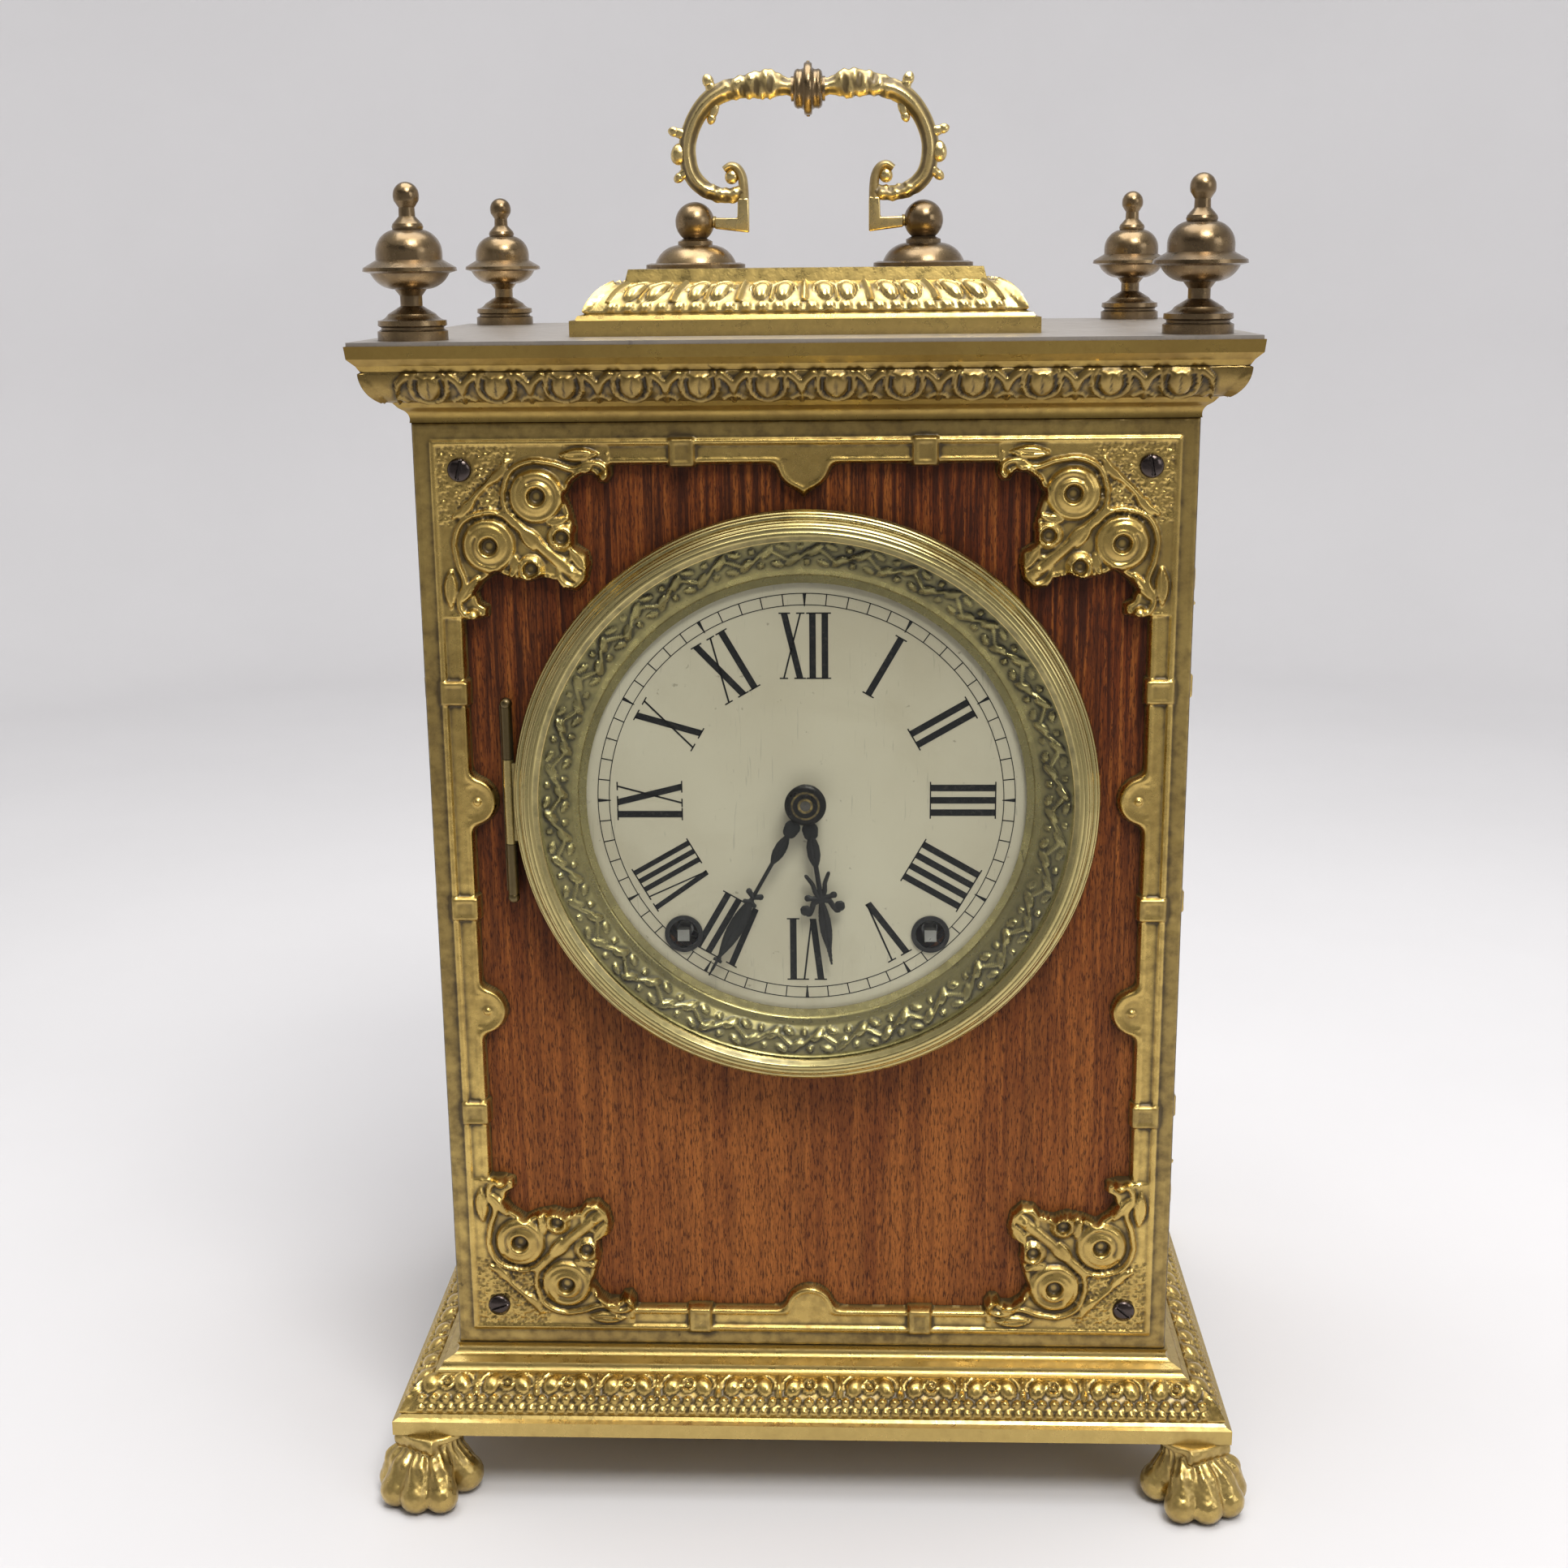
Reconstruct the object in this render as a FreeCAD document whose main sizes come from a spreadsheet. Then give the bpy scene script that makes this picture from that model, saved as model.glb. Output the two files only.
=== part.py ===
"""Bracket clock: an oak case with cast brass mounts, a carrying handle, paw feet and a spring movement.

Millimetres. The origin is on the table under the middle of the case, +Z up, and the dial faces -Y.
"""
import FreeCAD, Part
import math
import os

from FreeCAD import Placement, Rotation, Vector
from Sketcher import Constraint

# Driving dimensions, in mm unless the name says degrees or count.
SIZES = (
    # case
    ("body_width", 226.0), ("body_depth", 158.5), ("body_height", 292.9),
    ("foot_height", 22.4), ("base_height", 22.6), ("base_overhang", 19.0),
    ("cornice_height", 22.1), ("cornice_overhang", 14.8), ("ring_inset", 10.0),
    ("top_plate_thickness", 1.1), ("top_plate_margin", 0.6),
    ("frame_thickness", 3.0), ("frame_rail", 12.5), ("frame_relief", 1.0),
    ("strip_width", 5.0), ("bead_width", 1.4), ("tab_size", 7.5), ("tab_pitch", 67.0),
    ("tab_reach", 13.0), ("end_tab_spread", 35.0), ("lobe_radius", 7.5), ("lobe_shoulder", 11.0),
    ("corner_reach", 57.0), ("scroll_radius", 8.6), ("scroll_line", 2.2), ("scroll_boss", 2.9),
    ("side_end_tab_spread", 22.0),
    ("panel_thickness", 6.0), ("panel_gap", 0.2), ("post_size", 10.0), ("board_thickness", 8.0),
    ("board_lip", 6.0), ("frame_screw_inset", 13.5), ("frame_screw_radius", 3.5),
    ("frame_screw_shank", 1.5), ("frame_screw_length", 9.0),
    # feet
    ("foot_inset_x", 11.5), ("foot_inset_y", 8.0), ("foot_splay_degrees", 28.0),
    ("toe_radius", 5.4), ("toe_circle", 20.5), ("outer_toe_circle", 18.2), ("toe_spread_degrees", 30.0), ("knuckle_radius", 4.6),
    ("knuckle_circle", 11.5), ("knuckle_height", 11.5), ("heel_radius", 6.2), ("heel_circle", 9.5),
    ("ankle_radius", 9.0), ("foot_collar_height", 5.2), ("foot_roll_radius", 2.6),
    ("foot_roll_length", 15.0), ("foot_screw_radius", 2.5), ("foot_screw_grip", 10.0),
    # upper plinth, handle posts, finials
    ("plinth_width", 137.6), ("plinth_depth", 124.0), ("plinth_height", 19.0), ("plinth_step", 17.0),
    ("plinth_wall", 5.0),
    ("stud_radius", 2.0), ("stud_length", 3.0),
    ("post_spread", 72.4), ("post_ball_height", 14.2), ("post_ball_radius", 6.2),
    ("post_base_radius", 15.8), ("post_neck_radius", 3.7),
    ("finial_inset", 16.4), ("finial_height", 43.6), ("finial_base_radius", 9.8),
    ("finial_rim_radius", 13.3), ("finial_dome_radius", 9.4), ("finial_ball_radius", 3.65),
    ("finial_stem_radius", 3.15),
    # handle
    ("handle_pin_radius", 1.8), ("handle_wire_radius", 2.5), ("handle_leg_spread", 40.8),
    ("handle_leg_size", 4.2), ("handle_scroll_radius", 15.7), ("handle_scroll_spread", 48.8),
    ("handle_scroll_height", 24.1), ("handle_leaf_radius", 4.4), ("handle_leaf_length", 15.0),
    ("handle_volute_radius", 2.8), ("handle_bud_radius", 1.6),
    ("knop_radius", 7.6), ("knop_length", 10.6), ("knop_tip", 0.7),
    # dial, bezel, hands
    ("dial_height", 180.5), ("dial_radius", 71.0), ("dial_thickness", 1.0),
    ("winding_spread", 75.0), ("winding_drop", 42.0), ("winding_hole", 5.2), ("grommet_radius", 5.8),
    ("grommet_bore", 4.4), ("panel_hole", 60.0),
    ("bezel_radius", 86.9), ("bezel_proud", 11.0), ("bezel_lip", 79.0), ("glass_radius", 80.3),
    ("glass_thickness", 1.8), ("sight_ring_bore", 65.8), ("bezel_gap", 0.3),
    ("bezel_knuckle_radius", 1.7), ("bezel_pin_radius", 0.9), ("bezel_knuckle_length", 26.0),
    ("bezel_hinge_length", 58.0), ("bezel_hinge_offset", 2.0),
    ("minute_hand_length", 61.0), ("minute_hand_degrees", 209.0),
    ("hour_hand_length", 51.0), ("hour_hand_degrees", 171.5), ("hand_thickness", 0.8),
    ("hand_nut_radius", 6.2),
    # back door
    ("door_gap", 0.7), ("door_thickness", 6.0), ("door_knuckle_radius", 2.0), ("door_pin_radius", 1.1),
    ("door_hinge_length", 40.0), ("door_hinge_spread", 150.0), ("latch_knob_radius", 7.0),
    ("latch_reach", 14.1), ("latch_tongue", 7.0), ("latch_depth", 5.5), ("latch_shaft_radius", 2.5),
    # movement
    ("plate_width", 152.0), ("plate_top", 42.0), ("plate_bottom", 80.0), ("plate_thickness", 1.6),
    ("movement_setback", 12.0), ("plate_spacing", 30.0), ("pillar_radius", 4.0), ("pillar_inset", 6.0),
    ("pillar_nut_radius", 4.5), ("pillar_nut_height", 3.0),
    ("running_fit", 0.05), ("part_gap", 0.3), ("centre_arbor_radius", 1.6), ("hour_pipe_radius", 3.2),
    ("winding_arbor_radius", 2.5), ("winding_square", 3.6), ("ratchet_radius", 12.0),
    ("train_module", 1.1), ("great_teeth_count", 60.0), ("second_pinion_count", 8.0),
    ("centre_module", 0.75), ("second_teeth_count", 48.0), ("centre_pinion_count", 8.0),
    ("cannon_teeth_count", 12.0), ("minute_teeth_count", 36.0), ("motion_module", 0.5),
    ("minute_pinion_count", 10.0), ("hour_teeth_count", 40.0), ("wheel_thickness", 2.0),
    ("spring_width", 16.0), ("spring_strip", 0.5), ("spring_pitch", 1.7), ("spring_turns_count", 14.0),
    ("verge_rise", 34.0), ("verge_arbor_radius", 1.2), ("crutch_length", 22.0),
    ("pendulum_length", 135.0), ("pendulum_rod_radius", 1.1), ("bob_radius", 20.0),
    ("bob_thickness", 9.0),
    ("gong_radius", 34.0), ("gong_wire_radius", 1.3), ("gong_pitch", 5.0), ("gong_turns_count", 5.0),
    ("gong_offset", 30.0), ("gong_height", 66.0), ("gong_block_width", 16.0),
    ("hammer_head_radius", 5.0), ("hammer_arm_length", 20.0), ("hammer_gap", 0.6),
)


class Size(float):
    """A number that remembers the sheet expression it comes from."""

    def __new__(cls, value, text):
        size = super().__new__(cls, value)
        size.text = text
        return size

    def __add__(self, other):
        return Size(float(self) + float(other), "(%s + %s)" % (self.text, text_of(other)))

    def __radd__(self, other):
        return Size(float(other) + float(self), "(%s + %s)" % (text_of(other), self.text))

    def __sub__(self, other):
        return Size(float(self) - float(other), "(%s - %s)" % (self.text, text_of(other)))

    def __rsub__(self, other):
        return Size(float(other) - float(self), "(%s - %s)" % (text_of(other), self.text))

    def __mul__(self, other):
        return Size(float(self) * float(other), "(%s * %s)" % (self.text, text_of(other)))

    def __rmul__(self, other):
        return Size(float(other) * float(self), "(%s * %s)" % (text_of(other), self.text))

    def __truediv__(self, other):
        return Size(float(self) / float(other), "(%s / %s)" % (self.text, text_of(other)))

    def __neg__(self):
        return Size(-float(self), "(0 - %s)" % self.text)


def text_of(value):
    return value.text if isinstance(value, Size) else "%.6f" % value


def root(value):
    """Square root that stays an expression."""
    if isinstance(value, Size):
        return Size(math.sqrt(value), "sqrt(%s)" % value.text)
    return math.sqrt(value)


doc = FreeCAD.newDocument("BracketClock")
sheet = doc.addObject("Spreadsheet::Sheet", "Sizes")
for row, (alias, value) in enumerate(SIZES, start=1):
    sheet.set("A%d" % row, alias)
    sheet.set("B%d" % row, "%.4f" % value)
    sheet.setAlias("B%d" % row, alias)
doc.recompute()


def size(alias):
    """The value of one cell of the sheet, with its expression."""
    return Size(float(sheet.get(alias)), "Sizes.%s" % alias)


PARTS = {}


# ---------------------------------------------------------------------------------------------
# places that several sub-parts share
# ---------------------------------------------------------------------------------------------
half_width = size("body_width") / 2
half_depth = size("body_depth") / 2
body_bottom = size("foot_height") + size("base_height")
body_top = body_bottom + size("body_height")
plate_bottom = body_top + size("cornice_height")
plate_top = plate_bottom + size("top_plate_thickness")
plinth_top = plate_top + size("plinth_height")
ball_height = plinth_top + size("post_ball_height")
panel_front = -half_depth + size("frame_thickness")
panel_back = panel_front + size("panel_thickness")
dial_centre = body_bottom + size("dial_height")
dial_face = panel_front - size("frame_thickness")
front_plate = panel_back + size("movement_setback")
front_plate_back = front_plate + size("plate_thickness")
back_plate = front_plate_back + size("plate_spacing")
back_plate_back = back_plate + size("plate_thickness")
bezel_front = -half_depth - size("bezel_proud")
bezel_back = panel_front - size("bezel_gap")
glass_front = bezel_front + 1.8
glass_back = glass_front + size("glass_thickness")
winding_x = size("winding_spread") / 2
winding_z = dial_centre - size("winding_drop")


# ---------------------------------------------------------------------------------------------
# drawing helpers
# ---------------------------------------------------------------------------------------------
def bind(target, name, value):
    """Set a property, through the sheet where the value comes from it."""
    if isinstance(value, Size):
        target.setExpression(name, value.text)
    else:
        setattr(target, name, value)


def place(target, x=0.0, y=0.0, z=0.0, axis=(0, 0, 1), degrees=0.0):
    """Put an object at a place, with its offsets tied to the sheet."""
    target.Placement = Placement(Vector(x, y, z), Rotation(Vector(*axis), float(degrees)))
    for letter, value in (("x", x), ("y", y), ("z", z)):
        if isinstance(value, Size):
            target.setExpression(".Placement.Base.%s" % letter, value.text)
    if isinstance(degrees, Size):
        target.setExpression(".Placement.Rotation.Angle", degrees.text)


def new_body(name):
    body = doc.addObject("PartDesign::Body", name)
    body.Label = name
    PARTS[name] = body
    return body


def sketch_on(body, role):
    """An empty sketch on one of the body's own origin planes."""
    plane = next(item for item in body.Origin.OriginFeatures if item.Role == role)
    sketch = body.newObject("Sketcher::SketchObject", body.Name + "_sketch")
    sketch.AttachmentSupport = [(plane, "")]
    sketch.MapMode = "FlatFace"
    return sketch


def pin(sketch, kind, edge, end, value):
    """Tie one point of a sketch to one of its distances from the origin."""
    if value < 0:
        rule = sketch.addConstraint(Constraint(kind, edge, end, -1, 1, -float(value)))
        text = "0 - %s" % text_of(value)
    else:
        rule = sketch.addConstraint(Constraint(kind, -1, 1, edge, end, float(value)))
        text = text_of(value)
    if isinstance(value, Size):
        sketch.setExpression("Constraints[%d]" % rule, text)


def pins(sketch, edge, end, x, y):
    """Tie one point of a sketch to both its distances from the origin."""
    pin(sketch, "DistanceX", edge, end, x)
    pin(sketch, "DistanceY", edge, end, y)


def outline(sketch, points):
    """A closed outline. A point is (x, y), or (x, y, bulge) where the edge that leaves it is an arc."""
    first = sketch.GeometryCount
    ends = []
    for index, start in enumerate(points):
        stop = points[(index + 1) % len(points)]
        here = Vector(start[0], start[1], 0)
        there = Vector(stop[0], stop[1], 0)
        bulge = start[2] if len(start) > 2 else 0.0
        if not bulge:
            sketch.addGeometry(Part.LineSegment(here, there), False)
            ends.append((1, 2))
            continue
        step = there - here
        middle = (here + there) / 2 + Vector(step.y, -step.x, 0) * (bulge / 2)
        if bulge > 0:
            sketch.addGeometry(Part.Arc(here, middle, there), False)
            ends.append((1, 2))
        else:
            sketch.addGeometry(Part.Arc(there, middle, here), False)
            ends.append((2, 1))
    for index, start in enumerate(points):
        after = (index + 1) % len(points)
        joint = Constraint("Coincident", first + index, ends[index][1], first + after, ends[after][0])
        sketch.addConstraint(joint)
        pins(sketch, first + index, ends[index][0], start[0], start[1])
        if len(start) > 2 and start[2]:
            wide = points[after][0] - start[0]
            high = points[after][1] - start[1]
            bend = (1 + start[2] ** 2) / (4 * abs(start[2]))
            radius = root(wide * wide + high * high) * bend
            rule = sketch.addConstraint(Constraint("Radius", first + index, float(radius)))
            if isinstance(radius, Size):
                sketch.setExpression("Constraints[%d]" % rule, radius.text)


def rectangle(sketch, x_low, y_low, x_high, y_high):
    outline(sketch, [(x_low, y_low), (x_high, y_low), (x_high, y_high), (x_low, y_high)])


def ring(sketch, x, y, radius):
    """A full circle with its middle and its radius tied."""
    edge = sketch.addGeometry(Part.Circle(Vector(x, y, 0), Vector(0, 0, 1), float(radius)), False)
    pins(sketch, edge, 3, x, y)
    rule = sketch.addConstraint(Constraint("Radius", edge, float(radius)))
    if isinstance(radius, Size):
        sketch.setExpression("Constraints[%d]" % rule, radius.text)


def pad(body, sketch, length, backwards=False):
    feature = body.newObject("PartDesign::Pad", body.Name + "_pad")
    feature.Profile = sketch
    bind(feature, "Length", length)
    feature.Reversed = backwards
    return feature


def pocket(body, sketch, length, backwards=False):
    feature = body.newObject("PartDesign::Pocket", body.Name + "_pocket")
    feature.Profile = sketch
    bind(feature, "Length", length)
    feature.Reversed = backwards
    return feature


def through_pocket(body, sketch):
    """A cut through all, both ways from the sketch."""
    feature = body.newObject("PartDesign::Pocket", body.Name + "_cut")
    feature.Profile = sketch
    feature.Type = "ThroughAll"
    feature.Midplane = True
    return feature


def turned(name, points):
    """A piece turned about its own Z axis, from (radius, height) points."""
    body = new_body(name)
    sketch = sketch_on(body, "XZ_Plane")
    outline(sketch, points)
    feature = body.newObject("PartDesign::Revolution", name + "_turning")
    feature.Profile = sketch
    feature.ReferenceAxis = (sketch, ["V_Axis"])
    feature.Angle = 360
    return body


def moulding(name, half_x, half_y, profile):
    """A rectangular frame of moulding with mitred corners; the profile is (outward, height) points."""
    body = new_body(name)
    path = sketch_on(body, "XY_Plane")
    corners = [(0.0, -half_y), (half_x, -half_y), (half_x, half_y), (-half_x, half_y), (-half_x, -half_y)]
    outline(path, corners)
    section = sketch_on(body, "YZ_Plane")
    outline(section, [(-half_y - point[0],) + tuple(point[1:]) for point in profile])
    feature = body.newObject("PartDesign::AdditivePipe", name + "_run")
    feature.Profile = (section, [""])
    feature.Spine = (path, ["Edge%d" % (index + 1) for index in range(len(corners))])
    feature.Transition = "Right corner"
    return body


def stock(name, kind, **sizes):
    """One Part primitive, with its sizes tied to the sheet."""
    item = doc.addObject("Part::" + kind, name)
    for key, value in sizes.items():
        bind(item, key, value)
    return item


def block(name, x, y, z, wide, deep, high):
    """A box by its middle in X and Y and its bottom."""
    item = stock(name, "Box", Length=wide, Width=deep, Height=high)
    place(item, x - wide / 2, y - deep / 2, z)
    return item


def rod(name, radius, length, x=0.0, y=0.0, z=0.0, axis=(0, 0, 1), degrees=0.0):
    item = stock(name, "Cylinder", Radius=radius, Height=length)
    place(item, x, y, z, axis, degrees)
    return item


def ball(name, radius, x, y, z):
    item = stock(name, "Sphere", Radius=radius)
    place(item, x, y, z)
    return item


def cone(name, low_radius, high_radius, start, stop):
    """A cone between two points."""
    run = stop - start
    item = stock(name, "Cone", Radius1=low_radius, Radius2=high_radius, Height=run.Length)
    item.Placement = Placement(start, Rotation(Vector(0, 0, 1), run))
    return item


def fused(name, pieces):
    item = doc.addObject("Part::MultiFuse", name)
    item.Shapes = pieces
    item.Refine = True
    item.Label = name
    PARTS[name] = item
    return item


def cut_from(name, base, tools):
    """A boolean cut of one or more tools from a base object."""
    tool = tools[0]
    if len(tools) > 1:
        tool = doc.addObject("Part::MultiFuse", name + "_tools")
        tool.Shapes = tools
    item = doc.addObject("Part::Cut", name)
    item.Base = base
    item.Tool = tool
    item.Label = name
    PARTS[name] = item
    return item


def feature(name, shape, x=0.0, y=0.0, z=0.0, axis=(0, 0, 1), degrees=0.0):
    """A piece whose shape has no workbench form, such as a toothed wheel or a wound spring."""
    item = doc.addObject("Part::Feature", name)
    item.Label = name
    item.Shape = shape
    place(item, x, y, z, axis, degrees)
    PARTS[name] = item
    return item


FACING = {"axis": (1, 0, 0), "degrees": 90.0}


# ---------------------------------------------------------------------------------------------
# base, feet, cornice and top
# ---------------------------------------------------------------------------------------------
def base_moulding():
    """Moulded brass base with a ledge inside for the base board and four foot screw holes."""
    over = size("base_overhang")
    high = size("base_height")
    inset = size("ring_inset")
    board = size("board_thickness")
    profile = [(-inset, 0.0), (0.9, 0.0, -0.6), (2.4, -3.9), (over - 14.2, -4.7, -0.3),
               (over - 12.7, -6.8), (over - 11.8, -7.0, -0.22), (over - 2.4, -16.6), (over - 1.6, -17.4),
               (over, -18.0), (over, -high), (-inset - size("board_lip"), -high),
               (-inset - size("board_lip"), -board), (-inset, -board)]
    body = moulding("base_moulding", half_width, half_depth, profile)
    holes = sketch_on(body, "XY_Plane")
    for side in (-1, 1):
        for end in (-1, 1):
            ring(holes, foot_x() * side, foot_y() * end, size("foot_screw_radius") + size("running_fit"))
    cut = pocket(body, holes, high)
    cut.Type = "ThroughAll"
    cut.Midplane = True
    place(body, z=body_bottom)


def foot_x():
    return half_width + size("base_overhang") - size("foot_inset_x")


def foot_y():
    return half_depth + size("base_overhang") - size("foot_inset_y")


def base_board():
    """Oak board on the ledge inside the base."""
    gap = size("panel_gap")
    inset = size("ring_inset") + gap
    board = block("base_board", 0.0, 0.0, body_bottom - size("board_thickness"),
                  (half_width - inset) * 2, (half_depth - inset) * 2, size("board_thickness"))
    PARTS["base_board"] = board


def paw_foot(name, side, end):
    """Cast lion-paw foot: four toes, two heel lobes, an ankle with a flat sole and a rolled cushion."""
    toe = size("toe_radius")
    knuckle = size("knuckle_radius")
    pieces = []
    outer = 0 if side * end > 0 else 3
    for index in range(4):
        turn = math.radians((index - 1.5) * size("toe_spread_degrees"))
        ray = Vector(math.cos(turn), math.sin(turn), 0)
        reach = size("outer_toe_circle") if index == outer else size("toe_circle")
        tip = ray * (reach - toe) + Vector(0, 0, toe - 0.3)
        bend = ray * size("knuckle_circle") + Vector(0, 0, size("knuckle_height"))
        wrist = ray * 3.0 + Vector(0, 0, size("foot_height") - 5.0)
        label = "%s_toe_%d" % (name, index)
        for part, radius, spot in (("tip", toe, tip), ("knuckle", knuckle, bend)):
            pieces.append(ball("%s_%s" % (label, part), radius, spot.x, spot.y, spot.z))
        pieces.append(cone(label + "_front", toe * 0.97, knuckle * 0.97, tip, bend))
        pieces.append(cone(label + "_back", knuckle * 0.95, knuckle * 0.9, bend, wrist))
    for hand in (-1, 1):
        heel = Vector(-2.5, size("heel_circle") * hand, size("heel_radius") - 0.3)
        label = "%s_heel_%d" % (name, hand + 1)
        pieces.append(ball(label, size("heel_radius"), heel.x, heel.y, heel.z))
        pieces.append(cone(label + "_rise", size("heel_radius") * 0.95, 5.0, heel,
                           Vector(0, 2.5 * hand, size("foot_height") - 5.0)))
    collar = size("foot_collar_height")
    pieces.append(rod(name + "_pad", size("ankle_radius") * 1.25, collar * 0.42,
                      z=size("foot_height") - collar * 0.42))
    pieces.append(rod(name + "_ankle", size("ankle_radius"), size("foot_height")))
    pieces.append(rod(name + "_roll", size("foot_roll_radius"), size("foot_roll_length"),
                      8.5, size("foot_roll_length") / 2, size("foot_height") - size("foot_roll_radius"),
                      (1, 0, 0), 90.0))
    casting = doc.addObject("Part::MultiFuse", name + "_casting")
    casting.Shapes = pieces
    floor = block(name + "_floor", 0.0, 0.0, -20.0, 80.0, 80.0, 20.0)
    bore = rod(name + "_bore", size("foot_screw_radius") + size("running_fit"), 40.0,
               z=size("foot_height") - size("foot_screw_grip"))
    foot = cut_from(name, casting, [floor, bore])
    heading = 90.0 * end - size("foot_splay_degrees") * side * end
    place(foot, foot_x() * side, foot_y() * end, 0.0, (0, 0, 1), heading)


def foot_screws():
    """Four studs, each standing in its foot and in the base."""
    pieces = []
    grip = size("foot_screw_grip")
    for side in (-1, 1):
        for end in (-1, 1):
            label = "foot_screw_%d_%d" % (side + 1, end + 1)
            pieces.append(rod(label, size("foot_screw_radius"), grip * 2 - 1.0,
                              foot_x() * side, foot_y() * end, size("foot_height") - grip + 0.1))
    fused("foot_screws", pieces)


def cornice():
    """Moulded brass cornice: flat edge, ovolo for the ornament, fillets and a cavetto."""
    over = size("cornice_overhang")
    inset = size("ring_inset")
    high = size("cornice_height")
    low = -high
    profile = [(-inset, 0.0), (-inset, low), (0.4, low, 0.36), (over - 12.8, low + 3.8),
               (over - 11.8, low + 4.5), (over - 10.6, low + 5.9), (over - 8.8, low + 6.3, 0.3),
               (over - 3.5, -7.1), (over - 2.5, -5.5), (over - 0.4, -3.5), (over, 0.0)]
    body = moulding("cornice", half_width, half_depth, profile)
    holes = sketch_on(body, "XY_Plane")
    for x, y in finial_places():
        ring(holes, x, y, size("stud_radius") + size("running_fit"))
    pocket(body, holes, size("finial_base_radius"))
    place(body, z=plate_bottom)


def finial_places():
    x = half_width + size("cornice_overhang") - size("finial_inset")
    y = half_depth + size("cornice_overhang") - size("finial_inset")
    return [(x * side, y * end) for end in (-1, 1) for side in (-1, 1)]


def top_plate():
    """Flat plate that closes the cornice, with holes for the finials and the plinth."""
    body = new_body("top_plate")
    reach = size("cornice_overhang") - size("top_plate_margin")
    sketch = sketch_on(body, "XY_Plane")
    rectangle(sketch, -half_width - reach, -half_depth - reach, half_width + reach, half_depth + reach)
    for x, y in finial_places():
        ring(sketch, x, y, size("stud_radius") + size("running_fit"))
    pad(body, sketch, size("top_plate_thickness"))
    place(body, z=plate_bottom)


def upper_plinth():
    """Stepped plinth under the handle: foot slab, ornament band and top slab over a hollow."""
    half_x = size("plinth_width") / 2
    half_y = size("plinth_depth") / 2
    step = size("plinth_step")
    high = size("plinth_height")
    inner = -step - 2.0
    profile = [(inner, 0.0), (0.0, 0.0), (0.0, 4.6), (-1.6, 4.9), (-2.2, 5.9), (-4.0, 6.4, 0.25),
               (-step + 4.6, high - 4.2), (-step + 2.0, high - 3.8), (-step + 1.0, high), (inner, high)]
    body = moulding("upper_plinth", half_x, half_y, profile)
    lid = sketch_on(body, "XY_Plane")
    rectangle(lid, -half_x - inner - 1.0, -half_y - inner - 1.0, half_x + inner + 1.0, half_y + inner + 1.0)
    lid.AttachmentOffset = Placement(Vector(0, 0, high), Rotation())
    lid.setExpression(".AttachmentOffset.Base.z", high.text)
    pad(body, lid, size("plinth_wall"), True)
    holes = sketch_on(body, "XY_Plane")
    for side in (-1, 1):
        ring(holes, size("post_spread") / 2 * side, 0.0, size("stud_radius") + size("running_fit"))
    through_pocket(body, holes)
    place(body, z=plate_top)


def handle_post(name, side):
    """Domed foot and ball that carries one end of the handle, with a stud into the plinth."""
    base = size("post_base_radius")
    high = size("post_ball_height")
    bulb = size("post_ball_radius")
    neck = size("post_neck_radius")
    stud = size("stud_radius")
    drop = root(bulb * bulb - neck * neck)
    sweep = math.pi / 2 + math.acos(neck / bulb) - math.asin(0.3 / bulb)
    points = [(0.0, -size("stud_length")), (stud, -size("stud_length")), (stud, 0.0), (base, 0.0),
              (base, 1.2), (base - 1.6, 1.7), (base - 3.0, 1.7, 0.3), (neck + 1.8, high - drop - 2.0),
              (neck + 1.8, high - drop - 0.9), (neck, high - drop, math.tan(sweep / 4)), (0.3, high + bulb), (0.0, high + bulb)]
    body = turned(name + "_turned", points)
    del PARTS[name + "_turned"]
    length = bulb * 2
    bore = rod(name + "_bore", size("handle_pin_radius") + size("running_fit"), length,
               -length, 0.0, high, (0, 1, 0), 90.0)
    post = cut_from(name, body, [bore])
    place(post, size("post_spread") / 2 * side, 0.0, plinth_top, (0, 0, 1), 90.0 - 90.0 * side)


def finial(name, x, y):
    """Turned urn finial with a flared rim, a dome and a small ball, on a stud."""
    high = size("finial_height")
    base = size("finial_base_radius")
    stem = size("finial_stem_radius")
    rim = size("finial_rim_radius")
    dome = size("finial_dome_radius")
    tip = size("finial_ball_radius")
    stud = size("stud_radius")
    points = [(0.0, -size("stud_length")), (stud, -size("stud_length")), (stud, 0.0), (base + 0.2, 0.0),
              (base + 0.2, 2.6), (base - 0.9, 3.1), (base - 0.9, 3.7), (base, 4.2), (base - 0.1, 5.6, -0.25),
              (stem + 3.6, 7.4), (stem, 9.6), (stem, 12.4), (stem + 1.4, 14.2, 0.28), (rim - 2.2, 18.6),
              (rim, 19.2), (rim - 0.2, 20.2), (dome, 22.3), (dome, 24.0, 0.36), (stem + 1.1, 30.6),
              (stem + 1.3, 31.4), (stem + 1.0, 32.2), (stem - 0.8, 34.2), (stem - 0.9, 36.6),
              (tip - 0.2, 38.4, 0.1), (tip, high - tip, 0.39), (0.25, high), (0.0, high)]
    body = turned(name, points)
    place(body, x, y, plate_top)


# ---------------------------------------------------------------------------------------------
# brass frames, panels and posts
# ---------------------------------------------------------------------------------------------
# Silhouette of one corner mount, as shares of its reach: (along the end rail, along the side rail, bulge).
CORNER_SHAPE = ((0.0, 0.0), (1.0, 0.0), (1.0, 0.2, -0.5), (0.93, 0.3), (0.82, 0.34), (0.80, 0.49),
                (0.87, 0.67, -0.7), (0.80, 0.84), (0.70, 0.80), (0.55, 0.73), (0.43, 0.73), (0.37, 0.82),
                (0.36, 0.98, -0.6), (0.26, 1.0), (0.0, 1.0))
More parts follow.
